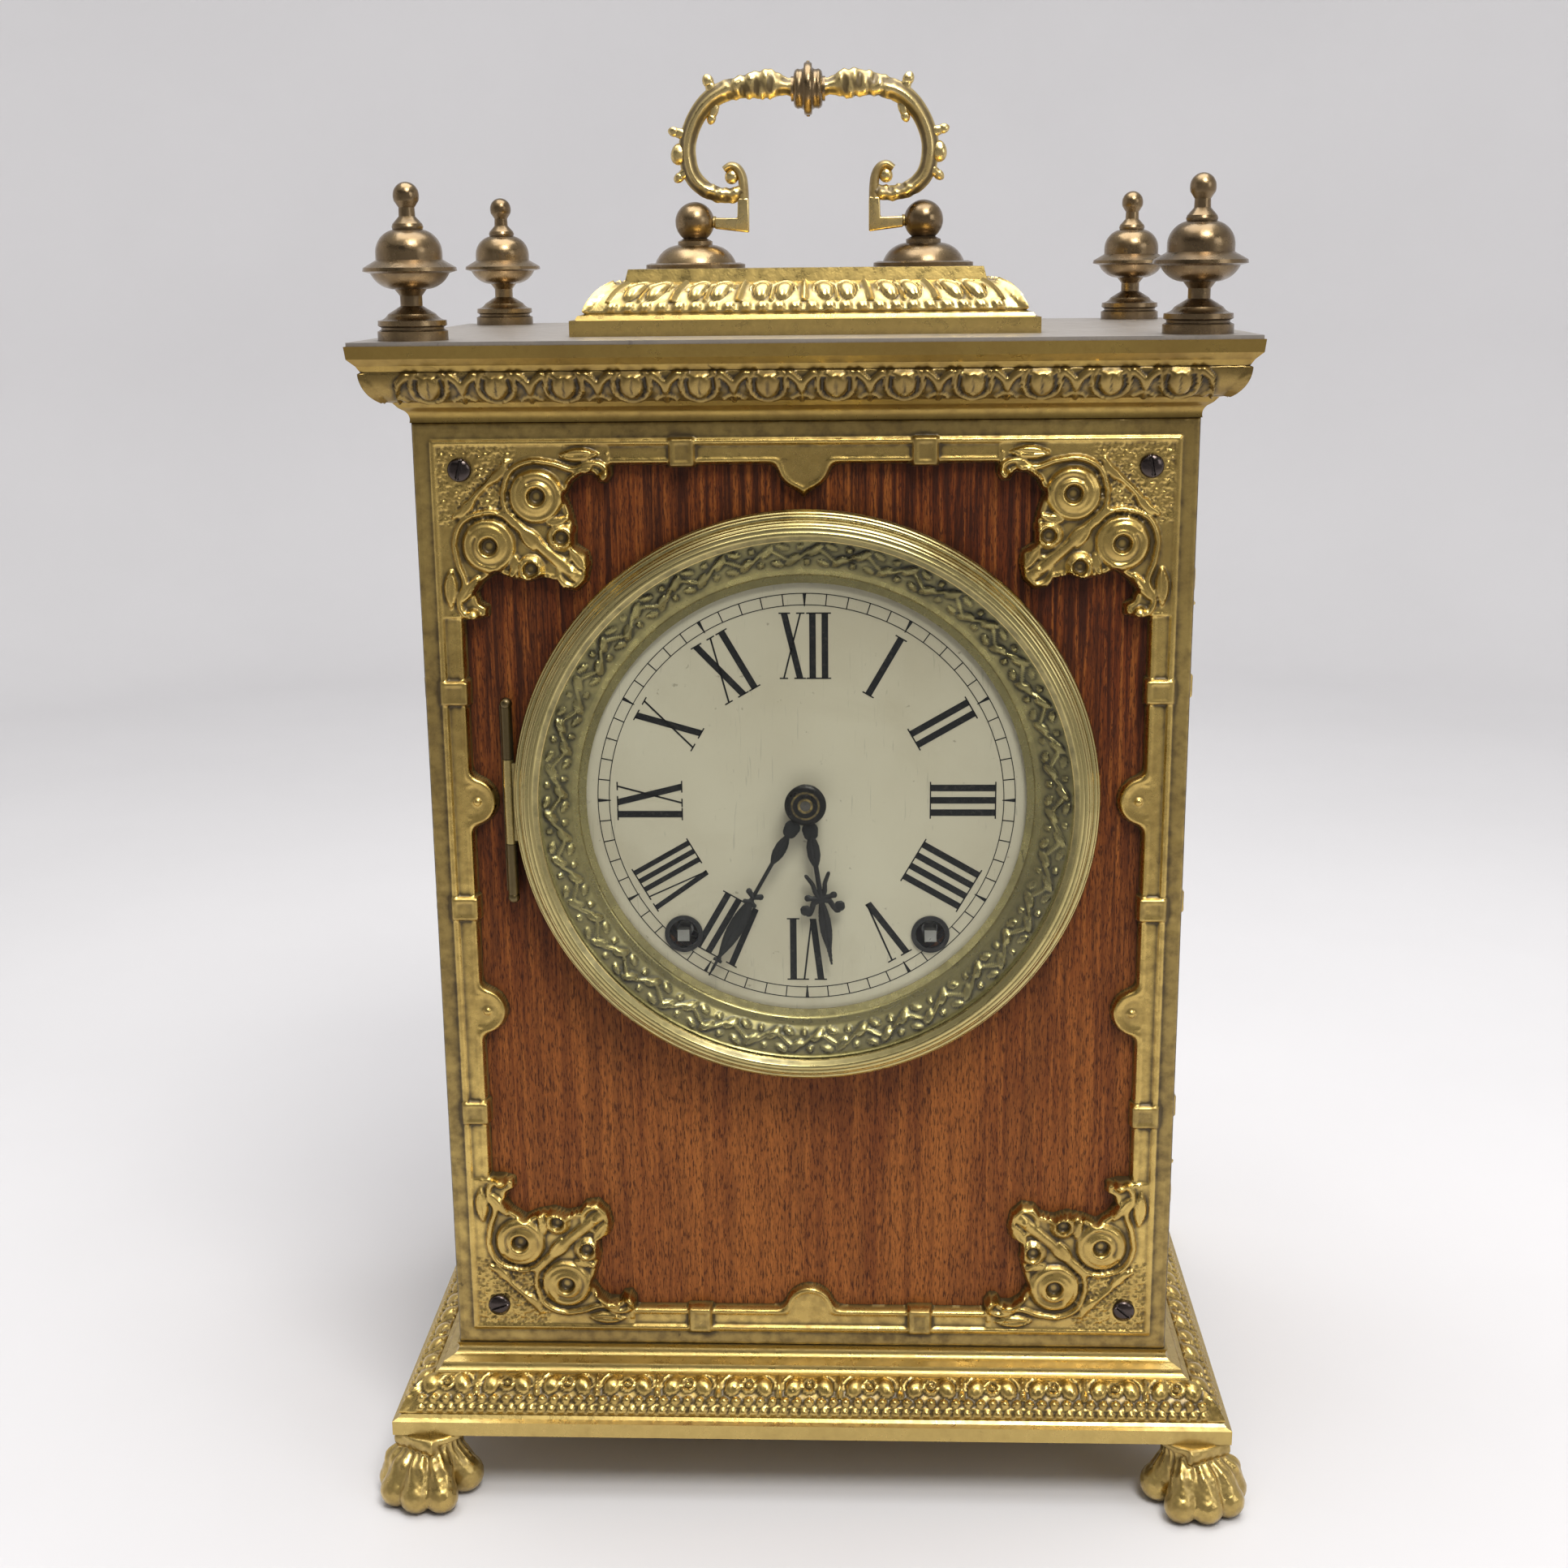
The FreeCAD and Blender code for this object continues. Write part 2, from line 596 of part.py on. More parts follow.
# Middles of the two scrolls of a corner mount, as shares of its reach.
SCROLL_PLACES = ((0.56, 0.31), (0.35, 0.57))


def corner_outline(sketch, half_x, high, side, end):
    """Corner mount, mirrored to the corner that side and end name."""
    reach = size("corner_reach")
    strip = size("strip_width")
    points = []
    for share in CORNER_SHAPE:
        x = (half_x - strip - (reach - strip) * share[0]) * side
        z = (high - strip - (reach - strip) * share[1]) if end > 0 else strip + (reach - strip) * share[1]
        bulge = share[2] * side * end if len(share) > 2 else 0.0
        points.append((x, z, bulge))
    outline(sketch, points)


def frame_plate(name, half_x, tab_spread, mounts=True):
    """Flat brass frame with raised strips, strap tabs, half-round lobes and scrolled corner mounts."""
    high = size("body_height")
    rail = size("frame_rail")
    body = new_body(name)
    sketch = sketch_on(body, "XZ_Plane")
    rectangle(sketch, -half_x, 0.0, half_x, high)
    rectangle(sketch, -half_x + rail, rail, half_x - rail, high - rail)
    pad(body, sketch, size("frame_thickness"))
    if not mounts:
        return body
    relief = size("frame_thickness") + size("frame_relief")
    corners = sketch_on(body, "XZ_Plane")
    for side in (-1, 1):
        for end in (-1, 1):
            corner_outline(corners, half_x, high, side, end)
    pad(body, corners, size("frame_thickness") + size("frame_relief") / 2)
    scrolls = sketch_on(body, "XZ_Plane")
    reach = size("corner_reach")
    for side in (-1, 1):
        for end in (-1, 1):
            for along, up in SCROLL_PLACES:
                x = (half_x - reach * along) * side
                z = high - reach * up if end > 0 else reach * up
                ring(scrolls, x, z, size("scroll_radius"))
                ring(scrolls, x, z, size("scroll_radius") - size("scroll_line"))
    pad(body, scrolls, relief + 0.6)
    bosses = sketch_on(body, "XZ_Plane")
    for side in (-1, 1):
        for end in (-1, 1):
            for along, up in SCROLL_PLACES:
                z = high - reach * up if end > 0 else reach * up
                ring(bosses, (half_x - reach * along) * side, z, size("scroll_boss"))
    pad(body, bosses, relief + 0.8)
    lobes = sketch_on(body, "XZ_Plane")
    lobe_outlines(lobes, half_x, high)
    pad(body, lobes, size("frame_thickness") + size("frame_relief") / 2)
    tabs = sketch_on(body, "XZ_Plane")
    tab_outlines(tabs, half_x, high, tab_spread)
    pad(body, tabs, relief + 0.5)
    beads = sketch_on(body, "XZ_Plane")
    bead_outlines(beads, half_x, high)
    pad(body, beads, relief)
    return body


def lobe_outlines(sketch, half_x, high):
    """Half-round lobes that stand into the panel from the middle of the rails."""
    rail = size("frame_rail")
    lobe = size("lobe_radius")
    foot = size("lobe_shoulder")
    middle = high / 2
    inner = half_x - rail
    for rise in (-0.5, 0.5):
        z = middle + size("tab_pitch") * rise
        for side in (-1, 1):
            outline(sketch, [((inner + 1.0) * side, z - foot), (inner * side, z - foot, -0.3 * side),
                             ((inner - 0.5) * side, z - lobe, -0.95 * side),
                             ((inner - 0.5) * side, z + lobe, -0.3 * side),
                             (inner * side, z + foot), ((inner + 1.0) * side, z + foot)])
    for end in (-1, 1):
        z = high - rail if end > 0 else rail * 1.0
        outline(sketch, [(-foot, z + 1.0 * end), (-foot, z, 0.3 * end), (-lobe, z - 0.5 * end, 0.95 * end),
                         (lobe, z - 0.5 * end, 0.3 * end), (foot, z), (foot, z + 1.0 * end)])


def tab_outlines(sketch, half_x, high, spread):
    """Square strap tabs across the rails."""
    tab = size("tab_size") / 2
    reach = size("tab_reach")
    strip = size("strip_width")
    middle = high / 2
    for rise in (-1, 0, 1):
        z = middle + size("tab_pitch") * rise
        for side in (-1, 1):
            near = (half_x - reach) * side
            far = (half_x - strip) * side
            outline(sketch, [(near, z - tab), (far, z - tab), (far, z + tab), (near, z + tab)])
    for side in (-1, 1):
        x = spread * side
        rectangle(sketch, x - tab, strip * 1.0, x + tab, reach)
        rectangle(sketch, x - tab, high - reach, x + tab, high - strip)


def bead_outlines(sketch, half_x, high):
    """Raised line just inside the plain outer strip."""
    strip = size("strip_width")
    bead = strip + size("bead_width")
    rectangle(sketch, -half_x + strip, strip * 1.0, half_x - strip, high - strip)
    rectangle(sketch, -half_x + bead, bead, half_x - bead, high - bead)


def screw_holes(body, half_x):
    """Four holes in the corners of a frame."""
    high = size("body_height")
    inset = size("frame_screw_inset")
    holes = sketch_on(body, "XZ_Plane")
    for side in (-1, 1):
        for z in (inset * 1.0, high - inset):
            ring(holes, (half_x - inset) * side, z, size("frame_screw_shank") + size("running_fit"))
    through_pocket(body, holes)


def frames():
    """Front, side and back frames; the side frames stand between the front and the back one."""
    front = frame_plate("front_frame", half_width, size("end_tab_spread"))
    screw_holes(front, half_width)
    place(front, y=panel_front, z=body_bottom)
    side_half = half_depth - size("frame_thickness")
    for name, side in (("left_side_frame", -1), ("right_side_frame", 1)):
        body = frame_plate(name, side_half, size("side_end_tab_spread"))
        place(body, (half_width - size("frame_thickness")) * side, 0.0, body_bottom, (0, 0, 1), 90.0 * side)
    back = frame_plate("back_frame", half_width, size("end_tab_spread"), False)
    place(back, 0.0, half_depth - size("frame_thickness"), body_bottom, (0, 0, 1), 180.0)


def frame_screws():
    """Four round-head screws that hold the front frame."""
    high = size("body_height")
    inset = size("frame_screw_inset")
    head = size("frame_screw_radius")
    pieces = []
    seat = panel_front - size("frame_thickness") - size("frame_relief") / 2
    for side in (-1, 1):
        for end, z in ((0, inset * 1.0), (1, high - inset)):
            label = "frame_screw_%d_%d" % (side + 1, end)
            dome = stock(label + "_dome", "Sphere", Radius=head)
            dome.Angle1 = 0
            place(dome, 0.0, 0.0, 0.0)
            flat = stock(label + "_flat", "Box", Length=head * 4, Width=head * 4, Height=head)
            place(flat, head * -2, head * -2, head * 0.6)
            squashed = doc.addObject("Part::Cut", label + "_head")
            squashed.Base = dome
            squashed.Tool = flat
            squashed.Placement = Placement(Vector(0, 0, 0), Rotation(Vector(1, 0, 0), 90))
            shank = rod(label + "_shank", size("frame_screw_shank"), size("frame_screw_length"),
                        0.0, size("frame_screw_length"), 0.0, (1, 0, 0), 90.0)
            screw = doc.addObject("Part::MultiFuse", label)
            screw.Shapes = [squashed, shank]
            place(screw, (half_width - inset) * side, seat, body_bottom + z)
            pieces.append(screw)
    fused("front_frame_screws", pieces)


def front_panel():
    """Oak panel behind the front frame, with the round hole for the movement."""
    body = new_body("front_panel")
    half_x = half_width - size("frame_thickness") - size("panel_gap")
    sketch = sketch_on(body, "XZ_Plane")
    rectangle(sketch, -half_x, 0.0, half_x, size("body_height"))
    ring(sketch, 0.0, size("dial_height"), size("panel_hole"))
    pad(body, sketch, size("panel_thickness"))
    screw_holes(body, half_width)
    place(body, y=panel_back, z=body_bottom)


def side_panel(name, side):
    """Oak board behind a side frame."""
    thick = size("panel_thickness")
    deep = half_depth - size("frame_thickness") - panel_back
    middle_y = (half_depth - size("frame_thickness") + panel_back) / 2
    x = (half_width - size("frame_thickness") - thick / 2) * side
    PARTS[name] = block(name, x, middle_y, body_bottom, thick, deep, size("body_height"))


def corner_posts():
    """Four oak posts that tie the boards together; one rear post is parted where the latch turns."""
    post = size("post_size")
    x = half_width - size("frame_thickness") - size("panel_thickness") - post / 2
    stop = half_depth - size("door_thickness") - size("door_gap")
    pieces = []
    for side in (-1, 1):
        for end, y in ((0, panel_back + post / 2), (1, stop - post / 2)):
            label = "corner_post_%d_%d" % (side + 1, end)
            pieces.append(block(label, x * side, y, body_bottom, post, post, size("body_height")))
    rough = doc.addObject("Part::MultiFuse", "corner_posts_rough")
    rough.Shapes = pieces
    latch_gap = size("latch_reach") * 2 + 4.0
    gap = block("latch_gap", x, stop - post / 2, body_bottom + size("body_height") / 2 - latch_gap / 2,
                post + 1.0, post + 1.0, latch_gap)
    cut_from("corner_posts", rough, [gap])


# ---------------------------------------------------------------------------------------------
# handle
# ---------------------------------------------------------------------------------------------
def handle_bail():
    """Cast bail: two C scrolls with leaves and buds, legs, and arms that turn in the ball posts."""
    wire = size("handle_wire_radius")
    leg = size("handle_leg_size")
    leg_x = size("handle_leg_spread") / 2
    curl = size("handle_scroll_radius")
    middle_x = size("handle_scroll_spread") / 2
    middle_z = size("handle_scroll_height")
    body = new_body("handle_scrolls")
    path = sketch_on(body, "XZ_Plane")
    low = middle_z - curl
    top = middle_z + curl
    run = [(-leg_x, low), (-middle_x, low), (-middle_x, top), (middle_x, top), (middle_x, low), (leg_x, low)]
    path.addGeometry(Part.LineSegment(Vector(*run[0], 0), Vector(*run[1], 0)), False)
    path.addGeometry(Part.Arc(Vector(*run[2], 0), Vector(-middle_x - curl, middle_z, 0),
                              Vector(*run[1], 0)), False)
    path.addGeometry(Part.LineSegment(Vector(*run[2], 0), Vector(*run[3], 0)), False)
    path.addGeometry(Part.Arc(Vector(*run[4], 0), Vector(middle_x + curl, middle_z, 0),
                              Vector(*run[3], 0)), False)
    path.addGeometry(Part.LineSegment(Vector(*run[4], 0), Vector(*run[5], 0)), False)
    for edge, end, spot in ((0, 1, run[0]), (0, 2, run[1]), (2, 1, run[2]), (2, 2, run[3]), (4, 1, run[4]),
                            (4, 2, run[5])):
        pins(path, edge, end, *spot)
    pin(path, "DistanceX", 1, 3, -middle_x)
    pin(path, "DistanceX", 3, 3, middle_x)
    for pair in ((0, 2, 1, 2), (1, 1, 2, 1), (2, 2, 3, 2), (3, 1, 4, 1)):
        path.addConstraint(Constraint("Coincident", *pair))
    section = sketch_on(body, "YZ_Plane")
    section.AttachmentOffset = Placement(Vector(0, 0, -leg_x), Rotation())
    section.setExpression(".AttachmentOffset.Base.z", (-leg_x).text)
    ring(section, 0.0, low, wire)
    tube = body.newObject("PartDesign::AdditivePipe", "handle_scrolls_tube")
    tube.Profile = (section, [""])
    tube.Spine = (path, ["Edge%d" % (index + 1) for index in range(5)])
    tube.Transition = "Transformed"
    del PARTS["handle_scrolls"]
    pieces = [body]
    leaf = size("handle_leaf_radius")
    leaf_long = size("handle_leaf_length")
    for side in (-1, 1):
        label = "handle_%d" % (side + 1)
        arm = size("post_spread") / 2 - size("post_ball_radius") - size("part_gap") - leg_x
        pieces.append(block(label + "_leg", leg_x * side, 0.0, -leg * 0.5, leg, leg, low + leg * 1.2))
        pieces.append(arm_rod(label + "_arm", leg / 2, leg_x * side, arm * side))
        pieces.append(arm_rod(label + "_pin", size("handle_pin_radius"), leg_x * side,
                              (size("post_spread") / 2 - size("part_gap") - leg_x) * side))
        pieces.append(ball(label + "_volute", size("handle_volute_radius"),
                           (leg_x + 2.6) * side, 0.0, low + leg * 1.2))
        start = Vector(float(side * 5.5), 0, float(top))
        middle = Vector(float(side * (5.5 + leaf_long * 0.4)), 0, float(top))
        stop = Vector(float(side * (5.5 + leaf_long)), 0, float(top))
        pieces.append(cone(label + "_leaf_near", wire, leaf, start, middle))
        pieces.append(cone(label + "_leaf_far", leaf, wire, middle, stop))
        bud = size("handle_bud_radius")
        for index, (turn, out, grow) in enumerate(((66, 1.0, 1.0), (12, 1.1, 1.0), (-14, 0.8, 1.5),
                                                  (-44, 1.1, 1.0), (70, -1.0, 1.0))):
            reach = curl + (wire + bud * 0.3) * out
            x = (middle_x + reach * math.cos(math.radians(turn))) * side
            z = middle_z + reach * math.sin(math.radians(turn))
            pieces.append(ball("%s_bud_%d" % (label, index), bud * grow, x, 0.0, z))
    bail = fused("handle_bail", pieces)
    place(bail, z=ball_height)


def arm_rod(name, radius, x, reach):
    """Rod along X from a leg towards its post; reach is signed."""
    turn = 90.0 if reach > 0 else -90.0
    return rod(name, radius, reach if reach > 0 else -reach, x, 0.0, 0.0, (0, 1, 0), turn)


def handle_knop():
    """Ribbed knop threaded on the middle of the bail, with a small point above and below."""
    grip = size("knop_radius")
    half = size("knop_length") / 2
    bore = size("handle_wire_radius") + size("running_fit")
    points = [(bore, -half), (bore + 1.2, -half), (bore + 1.2, -half + 1.0, 0.5), (grip - 1.6, -half + 2.2, -0.4),
              (grip - 1.2, -1.3), (grip, -1.2, 0.35), (grip, 1.2), (grip - 1.2, 1.3, -0.4),
              (grip - 1.6, half - 2.2, 0.5), (bore + 1.2, half - 1.0), (bore + 1.2, half), (bore, half)]
    body = turned("knop_turned", points)
    body.Placement = Placement(Vector(0, 0, 0), Rotation(Vector(0, 1, 0), 90))
    del PARTS["knop_turned"]
    tips = []
    for end in (-1, 1):
        start = Vector(0, 0, end * (float(grip) - 0.6))
        stop = Vector(0, 0, end * (float(grip) + float(size("knop_tip"))))
        tips.append(cone("knop_point_%d" % (end + 1), 1.2, 0.4, start, stop))
    knop = fused("handle_knop", [body] + tips)
    place(knop, z=ball_height + size("handle_scroll_height") + size("handle_scroll_radius"))


# ---------------------------------------------------------------------------------------------
# dial, bezel and hands
# ---------------------------------------------------------------------------------------------
def dial_plate():
    """Shallow silvered pan on the front panel, with holes for the hands and the two winding squares."""
    rim = size("dial_radius")
    thick = size("dial_thickness")
    deep = panel_front - dial_face
    body = turned("dial_plate", [(0.0, -thick), (0.0, 0.0), (rim, 0.0), (rim, -deep),
                                 (rim - thick, -deep), (rim - thick, -thick)])
    holes = sketch_on(body, "XY_Plane")
    ring(holes, 0.0, 0.0, size("hour_pipe_radius") + 0.6)
    for side in (-1, 1):
        ring(holes, winding_x * side, -size("winding_drop"), size("winding_hole"))
    through_pocket(body, holes)
    place(body, 0.0, dial_face, dial_centre, **FACING)


def winding_grommets():
    """Two black bushes in the winding holes."""
    pieces = []
    thick = size("dial_thickness")
    for side in (-1, 1):
        label = "grommet_%d" % (side + 1)
        flange = rod(label + "_flange", size("grommet_radius"), 0.6)
        sleeve = rod(label + "_sleeve", size("winding_hole") - size("running_fit"), thick, z=-thick)
        bore = rod(label + "_bore", size("grommet_bore"), 6.0, z=-3.0)
        whole = doc.addObject("Part::MultiFuse", label + "_whole")
        whole.Shapes = [flange, sleeve]
        bush = doc.addObject("Part::Cut", label)
        bush.Base = whole
        bush.Tool = bore
        place(bush, winding_x * side, dial_face, winding_z, **FACING)
        pieces.append(bush)
    fused("winding_grommets", pieces)


def bezel():
    """Hinged bezel: stepped brass rim with the moving knuckle, bevelled glass and a coved sight ring."""
    outer = size("bezel_radius")
    lip = size("bezel_lip")
    seat = size("glass_radius") + 0.2
    front = -bezel_front
    back = -bezel_back
    points = [(seat, back), (outer - 1.3, back), (outer, back + 1.4), (outer, front - 7.0, 0.3),
              (outer - 2.4, front - 3.6), (outer - 2.9, front - 2.4, 0.25), (outer - 5.0, front - 0.3),
              (outer - 6.2, front), (lip + 0.9, front - 0.4), (lip, front - 1.0), (lip, -glass_front),
              (seat, -glass_front)]
    points = [(point[0], point[1] - (-dial_face)) + tuple(point[2:]) for point in points]
    rim = turned("bezel_rim_turned", points)
    del PARTS["bezel_rim_turned"]
    place(rim, 0.0, dial_face, dial_centre, **FACING)
    x = -hinge_x()
    half = size("bezel_knuckle_length") / 2
    knuckle = size("bezel_knuckle_radius")
    barrel = rod("bezel_knuckle", knuckle, half * 2, x, hinge_y(), dial_centre - half)
    wing_reach = size("bezel_hinge_offset") + 3.0
    wing = block("bezel_wing", x + wing_reach / 2, hinge_y() - 0.6, dial_centre - half + 1.0,
                 wing_reach, 1.2, half * 2 - 2.0)
    metal = doc.addObject("Part::MultiFuse", "bezel_metal")
    metal.Shapes = [rim, barrel, wing]
    bore = rod("bezel_pin_bore", size("bezel_pin_radius") + size("running_fit"), half * 4,
               x, hinge_y(), dial_centre - half * 2)
    cut_from("bezel_rim", metal, [bore])
    glass = size("glass_radius")
    thick = size("glass_thickness")
    front_z = dial_face - glass_front
    pane = turned("bezel_glass", [(0.0, front_z - thick), (glass, front_z - thick), (glass, front_z - 1.0),
                                  (glass - 6.0, front_z), (0.0, front_z)])
    place(pane, 0.0, dial_face, dial_centre, **FACING)
    sight_ring()


def sight_ring():
    """Coved brass ring behind the glass, down to the dial."""
    bore = size("sight_ring_bore")
    edge = size("glass_radius") - 0.1
    top = dial_face - glass_back - 0.1
    low = 0.6
    points = [(bore, low), (bore + 2.6, low), (bore + 2.9, low + 0.7), (edge - 6.4, top - 3.0),
              (edge - 1.6, top - 0.8), (edge, top - 0.8), (edge, top), (edge - 2.0, top),
              (edge - 6.9, top - 2.3), (bore + 2.6, low + 1.5), (bore + 2.3, low + 0.9), (bore, low + 0.9)]
    ring_body = turned("sight_ring", points)
    place(ring_body, 0.0, dial_face, dial_centre, **FACING)


def hinge_x():
    return size("bezel_radius") + size("bezel_hinge_offset")


def hinge_y():
    return panel_front - size("bezel_knuckle_radius") - 2.6


def bezel_hinge():
    """Fixed half of the bezel hinge: leaf on the panel, two knuckles and the pin with ball ends."""
    x = -hinge_x()
    knuckle = size("bezel_knuckle_radius")
    half = size("bezel_hinge_length") / 2
    inner = size("bezel_knuckle_length") / 2 + 0.2
    pieces = [rod("hinge_pin", size("bezel_pin_radius"), half * 2 + 1.0, x, hinge_y(), dial_centre - half - 0.5)]
    for end in (-1, 1):
        low = dial_centre + inner if end > 0 else dial_centre - half
        label = "hinge_%d" % (end + 1)
        pieces.append(rod(label + "_knuckle", knuckle, half - inner, x, hinge_y(), low))
        deep = panel_front - hinge_y()
        pieces.append(block(label + "_stand", x, hinge_y() + deep / 2, low, 1.2, deep, half - inner))
        pieces.append(ball(label + "_ball", knuckle * 1.1, x, hinge_y(), dial_centre + (half + 1.0) * end))
    leaf = block("hinge_leaf", x - 0.9, panel_front - 0.5, dial_centre - half, 3.4, 1.0, half * 2)
    pieces.append(leaf)
    fused("bezel_hinge", pieces)


# Half outlines of the hands, as shares of the length: (along, half width in mm). They are mirrored.
MINUTE_SHAPE = ((0.05, 1.6), (0.12, 1.0), (0.17, 2.0), (0.22, 1.2), (0.36, 2.3), (0.43, 2.9), (0.50, 1.8),
                (0.53, 0.8), (0.56, 3.4), (0.585, 3.4), (0.62, 0.8), (0.66, 2.6), (0.74, 2.2), (0.86, 1.2),
                (1.0, 0.25))
HOUR_SHAPE = ((0.06, 1.7), (0.14, 1.0), (0.20, 2.1), (0.26, 1.3), (0.40, 2.6), (0.50, 2.4), (0.58, 1.2),
              (0.62, 5.4), (0.67, 2.0), (0.71, 1.2), (0.745, 6.2), (0.80, 2.6), (0.86, 2.4), (0.93, 1.2),
              (1.0, 0.3))


def hand(name, shape, length, hub, bore, degrees, y):
    """Pierced-style hand, cut from sheet, at its angle past twelve."""
    body = new_body(name)
    sketch = sketch_on(body, "XY_Plane")
    right = [(half * 1.0, length * along) for along, half in shape]
    left = [(-half * 1.0, length * along) for along, half in reversed(shape)]
    outline(sketch, right + left)
    pad(body, sketch, size("hand_thickness"))
    disc = sketch_on(body, "XY_Plane")
    ring(disc, 0.0, 0.0, hub)
    pad(body, disc, size("hand_thickness"))
    hole = sketch_on(body, "XY_Plane")
    ring(hole, 0.0, 0.0, bore)
    through_pocket(body, hole)
    facing = Rotation(Vector(1, 0, 0), 90)
    turn = Rotation(Vector(0, 0, 1), -float(degrees))
    body.Placement = Placement(Vector(0, float(y), float(dial_centre)), facing * turn)
    body.setExpression(".Placement.Base.y", y.text)
    body.setExpression(".Placement.Base.z", dial_centre.text)


def hour_hand_y():
    return dial_face - 3.0


def minute_hand_y():
    return dial_face - 5.0


def hands():
    pipe = size("hour_pipe_radius")
    arbor = size("centre_arbor_radius")
    hand("hour_hand", HOUR_SHAPE, size("hour_hand_length"), 4.8, pipe, size("hour_hand_degrees"), hour_hand_y())
    hand("minute_hand", MINUTE_SHAPE, size("minute_hand_length"), 4.6, arbor,
         size("minute_hand_degrees"), minute_hand_y())


def hand_nut():
    """Collet on the end of the centre arbor, in front of the minute hand."""
    nut = size("hand_nut_radius")
    arbor = size("centre_arbor_radius")
    body = turned("hand_nut", [(arbor, 0.0), (nut, 0.0), (nut, 0.4, 0.3), (nut - 2.2, 1.2), (arbor, 1.3)])
    place(body, 0.0, minute_hand_y() - size("hand_thickness"), dial_centre, **FACING)


# ---------------------------------------------------------------------------------------------
# back door
# ---------------------------------------------------------------------------------------------
def door_half():
    return half_width - size("frame_rail") - size("door_gap")


def door_hinge_x():
    return half_width - size("frame_rail")


def door_hinge_y():
    return half_depth + size("door_knuckle_radius")


def back_door():
    """Oak door in the back frame, with the moving hinge leaves."""
    thick = size("door_thickness")
    half = door_half()
    low = size("frame_rail") + size("door_gap")
    high = size("body_height") - low * 2
    board = block("door_board", 0.0, half_depth - thick / 2, body_bottom + low, half * 2, thick, high)
    hole = rod("door_latch_hole", size("latch_shaft_radius") + size("running_fit"), thick * 4,
               latch_x(), half_depth + thick, body_bottom + size("body_height") / 2, (1, 0, 0), 90.0)
    wood = doc.addObject("Part::Cut", "door_wood")
    wood.Base = board
    wood.Tool = hole
    pieces = [wood]
    knuckle = size("door_knuckle_radius")
    third = size("door_hinge_length") / 3
    for end in (-1, 1):
        z = door_hinge_z(end)
        label = "door_leaf_%d" % (end + 1)
        barrel = rod(label + "_barrel", knuckle, third - 0.2, -door_hinge_x(), door_hinge_y(), z - third / 2 + 0.1)
        pin = rod(label + "_bore", size("door_pin_radius") + size("running_fit"), third * 4,
                  -door_hinge_x(), door_hinge_y(), z - third * 2)
        leaf = block(label + "_leaf", -door_hinge_x() + 6.0, half_depth + 0.5, z - third / 2 + 0.1,
                     11.0, 1.0, third - 0.2)
        whole = doc.addObject("Part::MultiFuse", label + "_whole")
        whole.Shapes = [barrel, leaf]
        knuckled = doc.addObject("Part::Cut", label)
        knuckled.Base = whole
        knuckled.Tool = pin
        pieces.append(knuckled)
    fused("back_door", pieces)


def door_hinge_z(end):
    return body_bottom + size("body_height") / 2 + size("door_hinge_spread") / 2 * end


def back_door_hinges():
    """Fixed halves of the two door hinges: outer knuckles, leaves on the frame, and pins."""
    knuckle = size("door_knuckle_radius")
    third = size("door_hinge_length") / 3
    pieces = []
    for end in (-1, 1):
        z = door_hinge_z(end)
        label = "door_hinge_%d" % (end + 1)
        pieces.append(rod(label + "_pin", size("door_pin_radius"), third * 3 + 1.0, -door_hinge_x(),
                          door_hinge_y(), z - third * 1.5 - 0.5))
        for part, low in ((0, z - third * 1.5), (1, z + third / 2 + 0.1)):
            pieces.append(rod("%s_knuckle_%d" % (label, part), knuckle, third - 0.1,
                              -door_hinge_x(), door_hinge_y(), low))
            pieces.append(block("%s_leaf_%d" % (label, part), -door_hinge_x() - 5.0, half_depth + 0.5, low,
                                10.0, 1.0, third - 0.1))
    fused("back_door_hinges", pieces)


def latch_x():
    inner = half_width - size("frame_thickness") - size("panel_thickness") - size("post_size")
    return inner - size("latch_tongue") / 2 - 1.0


def back_door_latch():
    """Turned brass knob whose tongue turns behind the back frame; it points up, unlatched, at rest."""
    shaft = size("latch_shaft_radius")
    knob = size("latch_knob_radius")
    thick = size("door_thickness")
    deep = thick + size("latch_depth")
    points = [(0.0, -deep - 1.0), (shaft, -deep - 1.0), (shaft, 0.3), (shaft + 1.6, 0.3), (shaft + 1.6, 1.2),
              (shaft, 2.6), (shaft, 4.6, 0.3), (knob, 8.4, 0.45), (knob - 2.2, 12.0, 0.15), (0.3, 13.0), (0.0, 13.0)]
    turning = turned("latch_turned", points)
    turning.Placement = Placement(Vector(0, 0, 0), Rotation(Vector(1, 0, 0), -90))
    del PARTS["latch_turned"]
    tongue = block("latch_tongue", 0.0, -deep, -3.5, size("latch_tongue"), 2.0, size("latch_reach") + 3.5)
    latch = fused("back_door_latch", [turning, tongue])
    place(latch, latch_x(), half_depth, body_bottom + size("body_height") / 2)


# ---------------------------------------------------------------------------------------------
# movement
# ---------------------------------------------------------------------------------------------
def wheel_outline(teeth, module, phase):
    """Outline of a toothed wheel with clearance on both flanks; phase is a tooth's angle in radians."""
    step = 2 * math.pi / teeth
    pitch = teeth * module / 2
    rows = ((pitch - 1.25 * module, 0.215), (pitch, 0.165), (pitch + 0.8 * module, 0.075))
    points = []
    for index in range(int(teeth)):
        middle = phase + index * step
        for radius, share in rows:
            points.append(polar(radius, middle - share * step))
        for radius, share in reversed(rows):
            points.append(polar(radius, middle + share * step))
    return Part.Face(Part.makePolygon(points + points[:1]))


def polar(radius, angle):
    return Vector(radius * math.cos(angle), radius * math.sin(angle), 0)


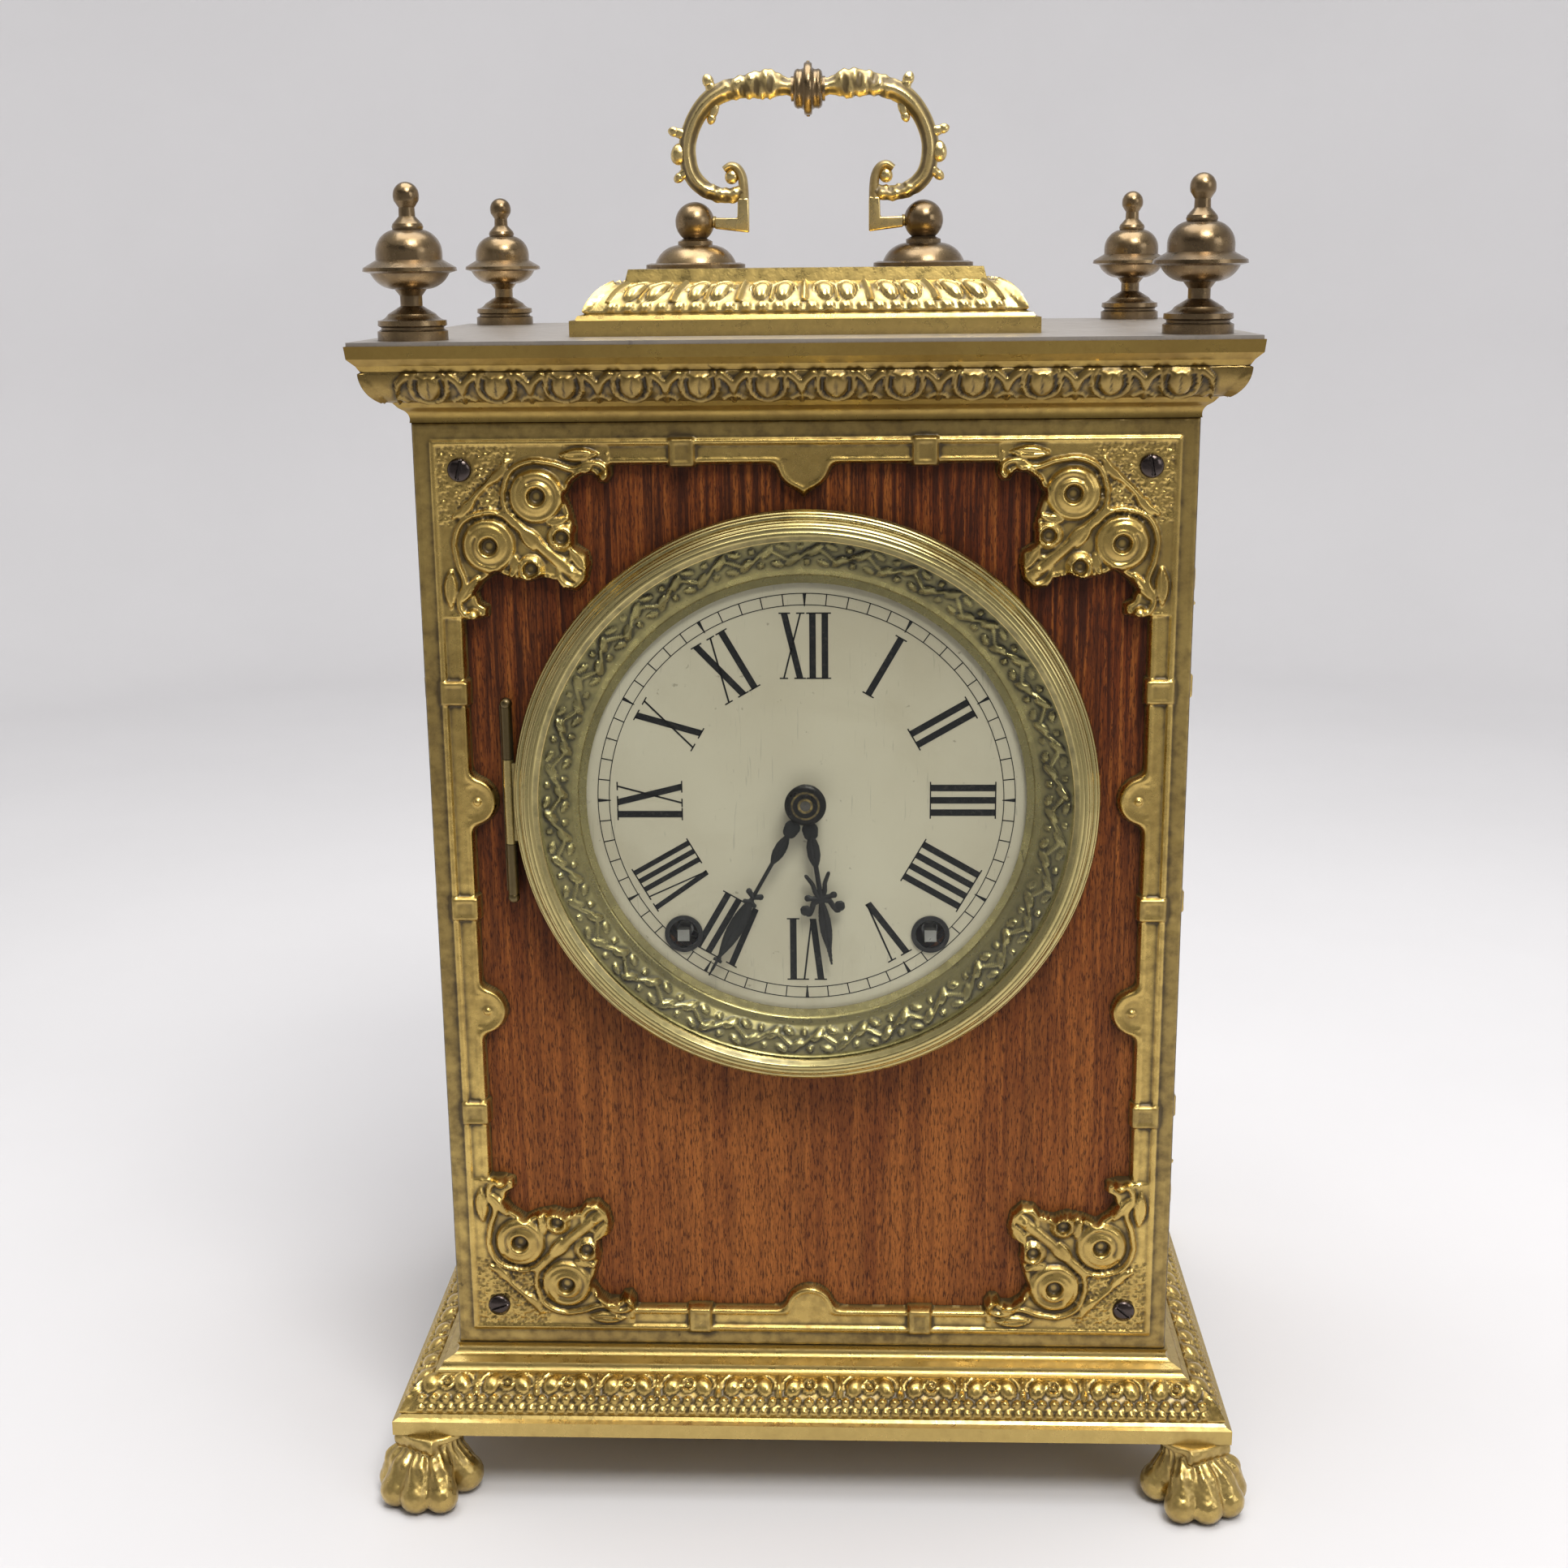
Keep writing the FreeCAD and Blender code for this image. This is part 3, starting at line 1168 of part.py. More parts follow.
def wheel(teeth, module, phase, thickness, z):
    """Toothed disc from z upwards, in the local frame whose Z faces the front."""
    face = wheel_outline(teeth, module, phase)
    face.translate(Vector(0, 0, z))
    return face.extrude(Vector(0, 0, thickness))


def cylinder(radius, z_low, z_high):
    return Part.makeCylinder(radius, z_high - z_low, Vector(0, 0, z_low))


def toward(y):
    """Local height of a plane at y, where the local frame stands at the dial face and looks forward."""
    return float(dial_face - y)


def pair_reach(module, wheel_count, pinion_count):
    return module * (wheel_count + pinion_count) / 2


def second_place():
    """Where the second arbor stands, from the great wheel's and the centre arbor's distances."""
    great = Vector(float(winding_x), -float(size("winding_drop")), 0)
    near = float(pair_reach(size("train_module"), size("great_teeth_count"), size("second_pinion_count")))
    far = float(pair_reach(size("centre_module"), size("second_teeth_count"), size("centre_pinion_count")))
    apart = great.Length
    along = (near ** 2 - far ** 2 + apart ** 2) / (2 * apart)
    aside = math.sqrt(max(near ** 2 - along ** 2, 0.0))
    ahead = (Vector(0, 0, 0) - great) / apart
    return great + ahead * along + Vector(ahead.y, -ahead.x, 0) * aside


def angle_from(start, stop):
    return math.atan2(stop.y - start.y, stop.x - start.x)


def meshing_phase(start, stop, teeth):
    """Phase for a wheel at stop, so that a gap faces the tooth of the wheel at start."""
    return angle_from(stop, start) + math.pi / float(teeth)


def at(shape, x, z):
    """Move one solid of several; x and z are from the dial's centre."""
    shape.translate(Vector(x, z, 0))
    return shape


def on_arbor(name, shape, x, z):
    """Stand a piece on its arbor; x and z are from the dial's centre."""
    feature(name, shape, x, dial_face, dial_centre + z, **FACING)


def minute_stud():
    """Stud of the minute wheel, left of the centre arbor."""
    reach = pair_reach(size("motion_module"), size("cannon_teeth_count"), size("minute_teeth_count"))
    return Vector(-float(reach), 0, 0)


def great_back():
    return float(front_plate_back) + 3.9


def second_back():
    return great_back() + 4.6


def movement_plates():
    """Front and back brass plates with their arbor holes."""
    second = second_place()
    fit = size("running_fit")
    for name, face in (("movement_front_plate", front_plate_back), ("movement_back_plate", back_plate_back)):
        body = new_body(name)
        sketch = sketch_on(body, "XZ_Plane")
        half = size("plate_width") / 2
        rectangle(sketch, -half, -size("plate_bottom"), half, size("plate_top"))
        ring(sketch, 0.0, 0.0, size("centre_arbor_radius") + fit)
        for side in (-1, 1):
            ring(sketch, winding_x * side, -size("winding_drop"), size("winding_arbor_radius") + fit)
        ring(sketch, 0.0, size("verge_rise"), size("verge_arbor_radius") + fit)
        ring(sketch, second.x, second.y, 1.5 + fit)
        hammer_x, hammer_z = hammer_place()
        ring(sketch, hammer_x, hammer_z, 1.5 + fit)
        for x, z in pillar_places():
            ring(sketch, x, z, size("pillar_radius") - 1.0)
        pad(body, sketch, size("plate_thickness"))
        if name == "movement_front_plate":
            minute_wheel_stud(body)
        place(body, 0.0, face, dial_centre)


def minute_wheel_stud(body):
    """Stud on the front plate, on which the minute wheel turns, with a shoulder and a head."""
    stud = minute_stud()
    for radius, low, high in ((2.2, -0.2, 0.8), (1.2, 0.0, 7.6), (1.9, 7.2, 7.9)):
        offset = size("plate_thickness") + low
        sketch = sketch_on(body, "XZ_Plane")
        sketch.AttachmentOffset = Placement(Vector(0, 0, offset), Rotation())
        sketch.setExpression(".AttachmentOffset.Base.z", offset.text)
        ring(sketch, stud.x, stud.y, radius)
        pad(body, sketch, high - low)


def pillar_places():
    x = size("plate_width") / 2 - size("pillar_inset")
    return [(x * side, z) for side in (-1, 1)
            for z in (-size("plate_bottom") + size("pillar_inset"), size("plate_top") - size("pillar_inset"))]


def movement_pillars():
    """Four pillars from the front panel through both plates, shouldered against them."""
    pillar = float(size("pillar_radius"))
    slim = pillar - 1.0 - 0.02
    pieces = []
    for x, z in pillar_places():
        shape = cylinder(pillar, toward(front_plate), toward(panel_back))
        shape = shape.fuse(cylinder(pillar, toward(back_plate), toward(front_plate_back)))
        shape = shape.fuse(cylinder(slim, toward(back_plate_back) - 4.0, toward(panel_back)))
        pieces.append(at(shape.removeSplitter(), float(x), float(z)))
    feature("movement_pillars", Part.makeCompound(pieces), 0.0, dial_face, dial_centre, **FACING)


def pillar_nuts():
    """Four nuts behind the back plate."""
    pieces = []
    for x, z in pillar_places():
        corners = [polar(float(size("pillar_nut_radius")), math.radians(60 * index)) for index in range(7)]
        face = Part.Face(Part.makePolygon(corners))
        face.translate(Vector(0, 0, toward(back_plate_back) - float(size("pillar_nut_height"))))
        nut = face.extrude(Vector(0, 0, float(size("pillar_nut_height"))))
        bore = cylinder(float(size("pillar_radius")) - 1.0, toward(back_plate_back) - 10.0, toward(back_plate_back))
        pieces.append(at(nut.cut(bore), float(x), float(z)))
    feature("pillar_nuts", Part.makeCompound(pieces), 0.0, dial_face, dial_centre, **FACING)


def minute_arbor():
    """Centre arbor with its pinion inside the plates and the cannon pinion in front of them."""
    radius = float(size("centre_arbor_radius"))
    arbor = cylinder(radius, toward(back_plate_back) - 1.5, toward(minute_hand_y()) + 1.9)
    second = second_place()
    centre = Vector(0, 0, 0)
    pinion = wheel(size("centre_pinion_count"), size("centre_module"), angle_from(centre, second), 5.0,
                   toward(second_back()) - 1.5)
    cannon = wheel(size("cannon_teeth_count"), size("motion_module"), angle_from(centre, minute_stud()), 2.4,
                   toward(front_plate) + 0.8)
    collar = cylinder(2.1, toward(front_plate) + 0.2, toward(front_plate) + 0.9)
    shape = arbor.fuse([pinion, cannon, collar]).removeSplitter()
    feature("minute_arbor", shape, 0.0, dial_face, dial_centre, **FACING)


def minute_wheel():
    """Wheel driven by the cannon pinion, with the small pinion that drives the hour wheel."""
    stud = minute_stud()
    centre = Vector(0, 0, 0)
    low = toward(front_plate) + 1.0
    disc = wheel(size("minute_teeth_count"), size("motion_module"),
                 meshing_phase(centre, stud, size("minute_teeth_count")), 1.6, low)
    pinion = wheel(size("minute_pinion_count"), hour_module(), angle_from(stud, centre), 4.4, low + 1.6)
    bore = cylinder(1.2 + float(size("running_fit")), low - 1.0, low + 9.0)
    shape = disc.fuse(pinion).cut(bore)
    on_arbor("minute_wheel", shape, stud.x, stud.y)


def hour_module():
    """Module of the hour pair, so that it shares the minute pair's centre distance."""
    pair = size("minute_pinion_count") + size("hour_teeth_count")
    return float(-minute_stud().x * 2 / float(pair))


def hour_wheel():
    """Hour wheel on its pipe, which turns on the centre arbor and carries the hour hand."""
    stud = minute_stud()
    centre = Vector(0, 0, 0)
    low = toward(front_plate) + 3.9
    disc = wheel(size("hour_teeth_count"), hour_module(), meshing_phase(stud, centre, size("hour_teeth_count")),
                 1.6, low)
    pipe = cylinder(float(size("hour_pipe_radius")) - 0.02, low, toward(hour_hand_y()) + 1.4)
    bore = cylinder(float(size("centre_arbor_radius") + size("running_fit")), low - 2.0, low + 30.0)
    shape = disc.fuse(pipe).cut(bore)
    feature("hour_wheel", shape, 0.0, dial_face, dial_centre, **FACING)


def winding_arbor(name, side):
    """Arbor with the winding square in front and the ratchet wheel between the plates."""
    radius = float(size("winding_arbor_radius"))
    square = float(size("winding_square"))
    round_part = cylinder(radius, toward(back_plate_back) - 1.5, toward(panel_front) - 2.0)
    key = Part.makeBox(square, square, 8.0, Vector(-square / 2, -square / 2, toward(panel_front) - 3.0))
    hub = cylinder(radius + 2.2, toward(back_plate) + 1.0, toward(great_back()) - 0.2)
    ratchet = ratchet_disc(float(size("ratchet_radius")), toward(great_back()) - 2.0)
    shape = round_part.fuse([key, hub, ratchet]).removeSplitter()
    on_arbor(name, shape, winding_x * side, -size("winding_drop"))


def ratchet_disc(radius, z):
    """Saw-toothed ratchet wheel, 1.6 thick."""
    count = 24
    points = []
    for index in range(count):
        turn = 2 * math.pi * index / count
        points.append(polar(radius, turn))
        points.append(polar(radius - 1.6, turn))
    return Part.Face(Part.makePolygon(points + points[:1])).extrude(Vector(0, 0, 1.6)).translated(Vector(0, 0, z))


def great_wheel(name, side):
    """Great wheel, loose on its winding arbor."""
    place_now = Vector(float(winding_x * side), -float(size("winding_drop")), 0)
    phase = 0.0
    if side > 0:
        phase = meshing_phase(second_place(), place_now, size("great_teeth_count"))
    disc = wheel(size("great_teeth_count"), size("train_module"), phase, float(size("wheel_thickness")),
                 toward(great_back()))
    bore = cylinder(float(size("winding_arbor_radius") + size("running_fit")), toward(great_back()) - 1.0,
                    toward(great_back()) + 6.0)
    on_arbor(name, disc.cut(bore), winding_x * side, -size("winding_drop"))


def second_wheel():
    """Second arbor: pinion at the great wheel, wheel at the centre pinion."""
    here = second_place()
    great = Vector(float(winding_x), -float(size("winding_drop")), 0)
    arbor = cylinder(1.5, toward(back_plate_back), toward(front_plate))
    pinion = wheel(size("second_pinion_count"), size("train_module"), angle_from(here, great), 4.4,
                   toward(great_back()) - 1.2)
    disc = wheel(size("second_teeth_count"), size("centre_module"),
                 meshing_phase(Vector(0, 0, 0), here, size("second_teeth_count")), 1.6, toward(second_back()))
    shape = arbor.fuse([pinion, disc]).removeSplitter()
    on_arbor("second_wheel", shape, here.x, here.y)


def half_turns(start_radius, growth, count):
    """Spiral of half circles in the local XY plane; growth is what the radius gains in a half turn."""
    edges = []
    here = Vector(start_radius, 0, 0)
    radius = start_radius
    side = 1
    for _ in range(count):
        radius += growth / 2
        there = here + Vector(-2 * radius * side, 0, 0)
        middle = (here + there) / 2 + Vector(0, radius * side, 0)
        edges.append(Part.Arc(here, middle, there).toShape())
        here = there
        radius += growth / 2
        side = -side
    return edges


def mainspring(name, side):
    """Open mainspring: one strip wound from the arbor's hub outwards."""
    strip = float(size("spring_strip"))
    growth = float(size("spring_pitch")) / 2
    count = int(size("spring_turns_count")) * 2
    hub = float(size("winding_arbor_radius")) + 2.2
    inner = half_turns(hub + 0.3, growth, count)
    outer = half_turns(hub + 0.3 + strip, growth, count)
    start = Part.makeLine(inner[0].Vertexes[0].Point, outer[0].Vertexes[0].Point)
    stop = Part.makeLine(inner[-1].Vertexes[-1].Point, outer[-1].Vertexes[-1].Point)
    border = Part.Wire(Part.__sortEdges__(inner + [stop] + outer + [start]))
    strip_face = Part.Face(border)
    strip_face.translate(Vector(0, 0, toward(back_plate) + 2.0))
    shape = strip_face.extrude(Vector(0, 0, float(size("spring_width"))))
    on_arbor(name, shape, winding_x * side, -size("winding_drop"))
    print(name, "least gap between turns", round(float(size("spring_pitch")) - strip, 3))


# ---------------------------------------------------------------------------------------------
# pendulum, verge, hammer and gong
# ---------------------------------------------------------------------------------------------
def pendulum_y():
    return back_plate_back + 10.0


def verge_height():
    return dial_centre + size("verge_rise")


def verge():
    """Verge arbor with its anchor between the plates and the crutch behind them."""
    radius = float(size("verge_arbor_radius"))
    arbor = cylinder(radius, toward(back_plate_back) - 3.0, toward(front_plate))
    inside = toward(back_plate) + 12.0
    anchor = Part.makeBox(26.0, 2.4, 2.0, Vector(-13.0, -1.2, inside))
    anchor = anchor.fuse(Part.makeBox(2.0, 7.0, 2.0, Vector(-13.0, -7.0, inside)))
    anchor = anchor.fuse(Part.makeBox(2.0, 7.0, 2.0, Vector(11.0, -7.0, inside)))
    drop = float(size("crutch_length"))
    behind = toward(back_plate_back) - 2.8
    crutch = Part.makeBox(3.0, drop, 1.2, Vector(-1.5, -drop, behind))
    shape = arbor.fuse([anchor, crutch])
    rod_radius = float(size("pendulum_rod_radius"))
    reach = float(pendulum_y() - back_plate_back)
    for side in (-1, 1):
        x = side * (rod_radius + 0.3) + (0.0 if side > 0 else -1.0)
        shape = shape.fuse(Part.makeBox(1.0, 2.0, reach + 2.0, Vector(x, -drop, behind - reach)))
    shape = shape.fuse(Part.makeBox(rod_radius * 2 + 2.6, 2.0, 1.2, Vector(-rod_radius - 1.3, -drop, behind)))
    feature("verge", shape.removeSplitter(), 0.0, dial_face, verge_height(), **FACING)


def suspension_cock():
    """Bracket on the back plate with the pin that the pendulum hangs from."""
    depth = float(pendulum_y() - back_plate_back)
    low = toward(back_plate_back)
    foot = Part.makeBox(20.0, 6.0, 1.6, Vector(-10.0, 4.0 - 2.0, low - 1.6))
    arm = Part.makeBox(6.0, 1.6, depth + 5.0, Vector(-3.0, 6.4, low - depth - 5.0))
    drop = Part.makeBox(6.0, 9.4, 1.6, Vector(-3.0, -1.4, low - depth - 5.0))
    pin = cylinder(1.2, low - depth - 4.0, low - depth + 3.0)
    shape = foot.fuse([arm, drop, pin]).removeSplitter()
    feature("suspension_cock", shape, 0.0, dial_face, verge_height(), **FACING)


def pendulum():
    """Rod with its eye on the pin, and a lens-shaped bob."""
    radius = float(size("pendulum_rod_radius"))
    long = float(size("pendulum_length"))
    bob = float(size("bob_radius"))
    middle = toward(pendulum_y())
    eye = cylinder(3.0, middle - 1.2, middle + 1.2).cut(cylinder(1.25, middle - 3.0, middle + 3.0))
    rod_shape = Part.makeCylinder(radius, long + bob + 5.0 - 2.6, Vector(0, -2.6, middle), Vector(0, -1, 0))
    shape = eye.fuse(rod_shape)
    feature("pendulum_rod", shape, 0.0, dial_face, verge_height(), **FACING)
    thick = float(size("bob_thickness"))
    edge = 1.0
    disc = turned("bob_turned", [(0.0, -thick / 2), (0.3, -thick / 2, 0.12), (bob, -edge), (bob, edge, 0.12),
                                 (0.3, thick / 2), (0.0, thick / 2)])
    del PARTS["bob_turned"]
    disc.Placement = Placement(Vector(0, 0, 0), Rotation(Vector(1, 0, 0), 90))
    bore = rod("bob_bore", size("pendulum_rod_radius") + 0.02, bob * 4, z=-bob * 2)
    lens = cut_from("pendulum_bob", disc, [bore])
    place(lens, 0.0, pendulum_y(), verge_height() - size("pendulum_length"))


def gong_centre():
    return Vector(float(size("gong_offset")), 0, float(body_bottom + size("gong_height")))


def gong_y():
    return back_plate_back + 26.0


def gong_coil():
    """Strike gong: one round wire wound in a flat spiral, held at its inner end by the block."""
    wire = float(size("gong_wire_radius"))
    pitch = float(size("gong_pitch"))
    count = int(size("gong_turns_count")) * 2
    start = float(size("gong_radius")) - pitch * float(size("gong_turns_count"))
    edges = half_turns(start, pitch / 2, count)
    path = Part.Wire(Part.__sortEdges__(edges))
    section = Part.Wire(Part.makeCircle(wire, Vector(start, 0, 0), Vector(0, 1, 0)))
    shape = path.makePipeShell([section], True, False)
    spot = gong_centre()
    feature("gong_coil", shape, spot.x, gong_y(), spot.z, **FACING)
    print("gong_coil least gap between turns", round(pitch - 2 * wire, 3))


def gong_block():
    """Iron block on the base board, with the arm that grips the inner end of the coil."""
    wide = float(size("gong_block_width"))
    spot = gong_centre()
    wire = float(size("gong_wire_radius"))
    start = float(size("gong_radius")) - float(size("gong_pitch")) * float(size("gong_turns_count"))
    y = float(gong_y())
    floor = float(body_bottom)
    stand = Part.makeBox(wide, 12.0, spot.z - floor + 6.0, Vector(spot.x - wide / 2, y + wire + 1.2, floor))
    foot = Part.makeBox(wide + 20.0, 22.0, 5.0, Vector(spot.x - wide / 2 - 10.0, y + wire + 1.2 - 5.0, floor))
    boss_start = Vector(spot.x + start, y + wire + 1.3, spot.z)
    boss = Part.makeCylinder(wire + 1.6, wire * 2 + 2.6, boss_start, Vector(0, -1, 0))
    boss = boss.cut(Part.makeCylinder(wire + 0.02, 8.0, Vector(spot.x + start, y, spot.z), Vector(0, 0, 1)))
    boss = boss.cut(Part.makeBox(8.0, wire * 2 + 0.04, 8.0, Vector(spot.x + start - 4.0, y - wire - 0.02, spot.z + 0.3)))
    shape = stand.fuse([foot, boss]).removeSplitter()
    feature("gong_block", shape)


def hammer_place():
    """Hammer arbor, from the dial's centre, so that the head rests just above the coil."""
    spot = gong_centre()
    outer = float(size("gong_radius") - size("gong_pitch") * 0.75 + size("gong_wire_radius"))
    rest = outer + float(size("hammer_gap") + size("hammer_head_radius"))
    x = spot.x + float(size("hammer_arm_length"))
    z = spot.z + rest - float(dial_centre)
    return x, z


def strike_hammer():
    """Arbor through both plates with the arm and head over the gong."""
    x, z = hammer_place()
    arm = float(size("hammer_arm_length"))
    head = float(size("hammer_head_radius"))
    y = float(gong_y())
    back = toward(y + 4.0)
    arbor = cylinder(1.5, back, toward(front_plate))
    bar = Part.makeBox(arm, 2.4, 2.4, Vector(-arm, -1.2, toward(y) - 1.2))
    cap = Part.makeCylinder(head, 9.0, Vector(-arm, 0, toward(y) - 4.5))
    tail = Part.makeBox(9.0, 2.4, 1.6, Vector(0, -1.2, toward(back_plate) + 4.0))
    shape = arbor.fuse([bar, cap, tail]).removeSplitter()
    on_arbor("strike_hammer", shape, x, z)


# ---------------------------------------------------------------------------------------------
# build, check and write
# ---------------------------------------------------------------------------------------------
CORNERS = (("front_left", -1, -1), ("front_right", 1, -1), ("rear_left", -1, 1), ("rear_right", 1, 1))


def build_case():
    base_moulding()
    base_board()
    for name, side, end in CORNERS:
        paw_foot("paw_foot_" + name, side, end)
    foot_screws()
    frames()
    frame_screws()
    front_panel()
    side_panel("left_side_panel", -1)
    side_panel("right_side_panel", 1)
    corner_posts()
    cornice()
    top_plate()
    upper_plinth()
    for (name, _, _), (x, y) in zip(CORNERS, finial_places()):
        finial("finial_" + name, x, y)
    handle_post("handle_post_left", -1)
    handle_post("handle_post_right", 1)
    handle_bail()
    handle_knop()


def build_front_and_back():
    dial_plate()
    winding_grommets()
    bezel()
    bezel_hinge()
    hands()
    hand_nut()
    back_door()
    back_door_hinges()
    back_door_latch()


def build_movement():
    movement_plates()
    movement_pillars()
    pillar_nuts()
    minute_arbor()
    minute_wheel()
    hour_wheel()
    for word, side in (("strike", -1), ("time", 1)):
        winding_arbor(word + "_winding_arbor", side)
        great_wheel(word + "_great_wheel", side)
        mainspring(word + "_mainspring", side)
    second_wheel()
    verge()
    suspension_cock()
    pendulum()
    gong_coil()
    gong_block()
    strike_hammer()


def check_and_write():
    """Stop if anything failed, then write each sub-part to its own file."""
    doc.recompute()
    for item in doc.Objects:
        bad = [word for word in item.State if word in ("Invalid", "Error")]
        if bad:
            raise RuntimeError("%s is %s" % (item.Name, bad))
    os.makedirs("parts", exist_ok=True)
    for name, item in PARTS.items():
        shape = item.Shape
        if shape.isNull() or not shape.isValid() or not shape.Solids:
            raise RuntimeError("%s has no valid solid" % name)
        shape.exportStep("parts/%s.step" % name)
    print(len(PARTS), "sub-parts written")


build_case()
build_front_and_back()
build_movement()
check_and_write()
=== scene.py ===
import math

import bmesh
import bpy
import numpy as np
from mathutils import Matrix, Vector


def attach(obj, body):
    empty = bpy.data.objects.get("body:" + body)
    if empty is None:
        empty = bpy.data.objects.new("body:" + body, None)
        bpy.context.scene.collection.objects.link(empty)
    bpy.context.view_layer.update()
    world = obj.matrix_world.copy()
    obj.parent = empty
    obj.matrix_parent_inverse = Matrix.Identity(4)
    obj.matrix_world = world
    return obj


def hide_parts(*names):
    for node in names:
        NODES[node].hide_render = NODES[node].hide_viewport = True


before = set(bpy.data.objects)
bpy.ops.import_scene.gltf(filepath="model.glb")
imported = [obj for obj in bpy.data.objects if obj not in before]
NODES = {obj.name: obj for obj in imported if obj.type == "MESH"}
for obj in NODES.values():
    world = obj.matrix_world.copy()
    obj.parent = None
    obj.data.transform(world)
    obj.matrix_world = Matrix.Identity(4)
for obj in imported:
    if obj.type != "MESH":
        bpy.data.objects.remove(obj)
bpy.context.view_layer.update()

# Lengths are in millimetres until a mesh is made; the scene is in metres.
MM = 0.001

# The case, as the CAD frame has it.
HALF_WIDTH = 113.0
HALF_DEPTH = 79.25
PANEL_FRONT = -76.25
SIDE_HALF = 76.25
SIDE_BASE = 110.0
BODY_BOTTOM = 45.0
BODY_HEIGHT = 292.9
CORNICE_TOP = 360.0
PLATE_TOP = 361.1
DIAL_Z = 225.5
DIAL_FACE = -79.25
BALL_Z = 394.3

# The brass frames of the front and the sides.
FRAME_STEP = 0.40
FRAME_BAR = 12.5
TAB_MIDDLE = 12.4
PIN_RISE = 33.5
TAB_RISE = 67.0
MOUNT_REACH = 60.0
FRONT_TAB = 35.0
SIDE_TAB = 22.0


# ---------------------------------------------------------------------------------------------
# meshes
# ---------------------------------------------------------------------------------------------
def mesh_object(name, mesh, shade_and_dirt, sharp):
    """Object of a mesh that is smooth up to an angle; the value per point darkens the surface: dirt and painted
    shade in recesses, and painted shade on some faces.
    """
    if shade_and_dirt is not None:
        layer = mesh.attributes.new("shade_and_dirt", "FLOAT", "POINT")
        layer.data.foreach_set("value", np.asarray(shade_and_dirt, dtype=np.float32).ravel())
    mesh.polygons.foreach_set("use_smooth", [True] * len(mesh.polygons))
    mesh.set_sharp_from_angle(angle=math.radians(sharp))
    obj = bpy.data.objects.new(name, mesh)
    bpy.context.scene.collection.objects.link(obj)
    return obj


def make_mesh(name, points, faces, shade_and_dirt=None, sharp=50.0):
    """Object from points in millimetres and from faces, either a list or an array of equal faces."""
    mesh = bpy.data.meshes.new(name)
    if isinstance(faces, np.ndarray):
        count, sides = faces.shape
        mesh.vertices.add(len(points))
        mesh.vertices.foreach_set("co", (np.asarray(points) * MM).astype(np.float32).ravel())
        mesh.loops.add(count * sides)
        mesh.loops.foreach_set("vertex_index", faces.astype(np.int32).ravel())
        mesh.polygons.add(count)
        mesh.polygons.foreach_set("loop_start", np.arange(0, count * sides, sides, dtype=np.int32))
        mesh.update(calc_edges=True)
        mesh.validate()
    else:
        mesh.from_pydata([[c * MM for c in point] for point in points], [], faces)
        mesh.update()
    return mesh_object(name, mesh, shade_and_dirt, sharp)


def finish_piece(obj, body, slot_name, material, *replaced):
    """Gives a new piece its body and material."""
    obj.data.materials.clear()
    obj.data.materials.append(material)
    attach(obj, body)
    if replaced:
        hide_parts(*replaced)
    return obj


def joined(name, pieces):
    """One object from several mesh objects."""
    points = []
    faces = []
    shade_and_dirt = []
    for piece in pieces:
        mesh = piece.data
        start = len(points)
        points += [tuple(vertex.co) for vertex in mesh.vertices]
        faces += [[index + start for index in poly.vertices] for poly in mesh.polygons]
        shade_and_dirt += [value.value for value in mesh.attributes["shade_and_dirt"].data]
        bpy.data.objects.remove(piece)
    mesh = bpy.data.meshes.new(name)
    mesh.from_pydata(points, [], faces)
    mesh.update()
    return mesh_object(name, mesh, shade_and_dirt, 50.0)


def reworked(obj, bevel=0.0):
    """Turns the faces outward and bevels the edges by so many millimetres."""
    work = bmesh.new()
    work.from_mesh(obj.data)
    bmesh.ops.recalc_face_normals(work, faces=work.faces)
    if bevel:
        bmesh.ops.bevel(work, geom=work.edges[:], offset=bevel * MM, segments=3, profile=0.5, affect="EDGES")
    work.to_mesh(obj.data)
    work.free()
    return obj


def grid_faces(kept, wide):
    """Faces of a closed sheet: the kept cells in front, their copies behind and walls between."""
    rows, columns = kept.shape
    total = (rows + 1) * wide
    i, j = np.nonzero(kept)
    corner = i * wide + j
    front = np.stack([corner, corner + wide, corner + wide + 1, corner + 1], axis=1)
    back = front[:, ::-1] + total
    walls = []
    padded = np.pad(kept, 1)
    steps = ((-1, 0, 0, 1), (1, 0, wide + 1, wide), (0, -1, wide, 0), (0, 1, 1, wide + 1))
    for down, along, first, second in steps:
        alone = ~padded[i + 1 + down, j + 1 + along]
        a = corner[alone] + first
        b = corner[alone] + second
        walls.append(np.stack([a, b, b + total, a + total], axis=1))
    return np.concatenate([front, back] + walls)


def closed_sheet(name, front, back, shade_and_dirt, kept=None, flip=False):
    """Closed mesh from two grids of points; kept picks the cells that are used, all of them if left out."""
    if kept is None:
        kept = np.ones((front.shape[0] - 1, front.shape[1] - 1), dtype=bool)
    faces = grid_faces(kept, front.shape[1])
    if flip:
        faces = faces[:, ::-1]
    points = np.concatenate([front.reshape(-1, 3), back.reshape(-1, 3)])
    dark = np.concatenate([shade_and_dirt.ravel(), shade_and_dirt.ravel()])
    used = np.unique(faces)
    lookup = np.zeros(len(points), dtype=np.int64)
    lookup[used] = np.arange(len(used))
    return make_mesh(name, points[used], lookup[faces], dark[used])


def ring_faces(steps, around):
    """Quads between neighbouring rings of points."""
    return [[i * around + k, i * around + (k + 1) % around, (i + 1) * around + (k + 1) % around,
             (i + 1) * around + k] for i in range(steps) for k in range(around)]


def run_of(line):
    """Length along a line at each of its points."""
    return np.concatenate([[0], np.cumsum(np.linalg.norm(np.diff(line, axis=0), axis=1))])


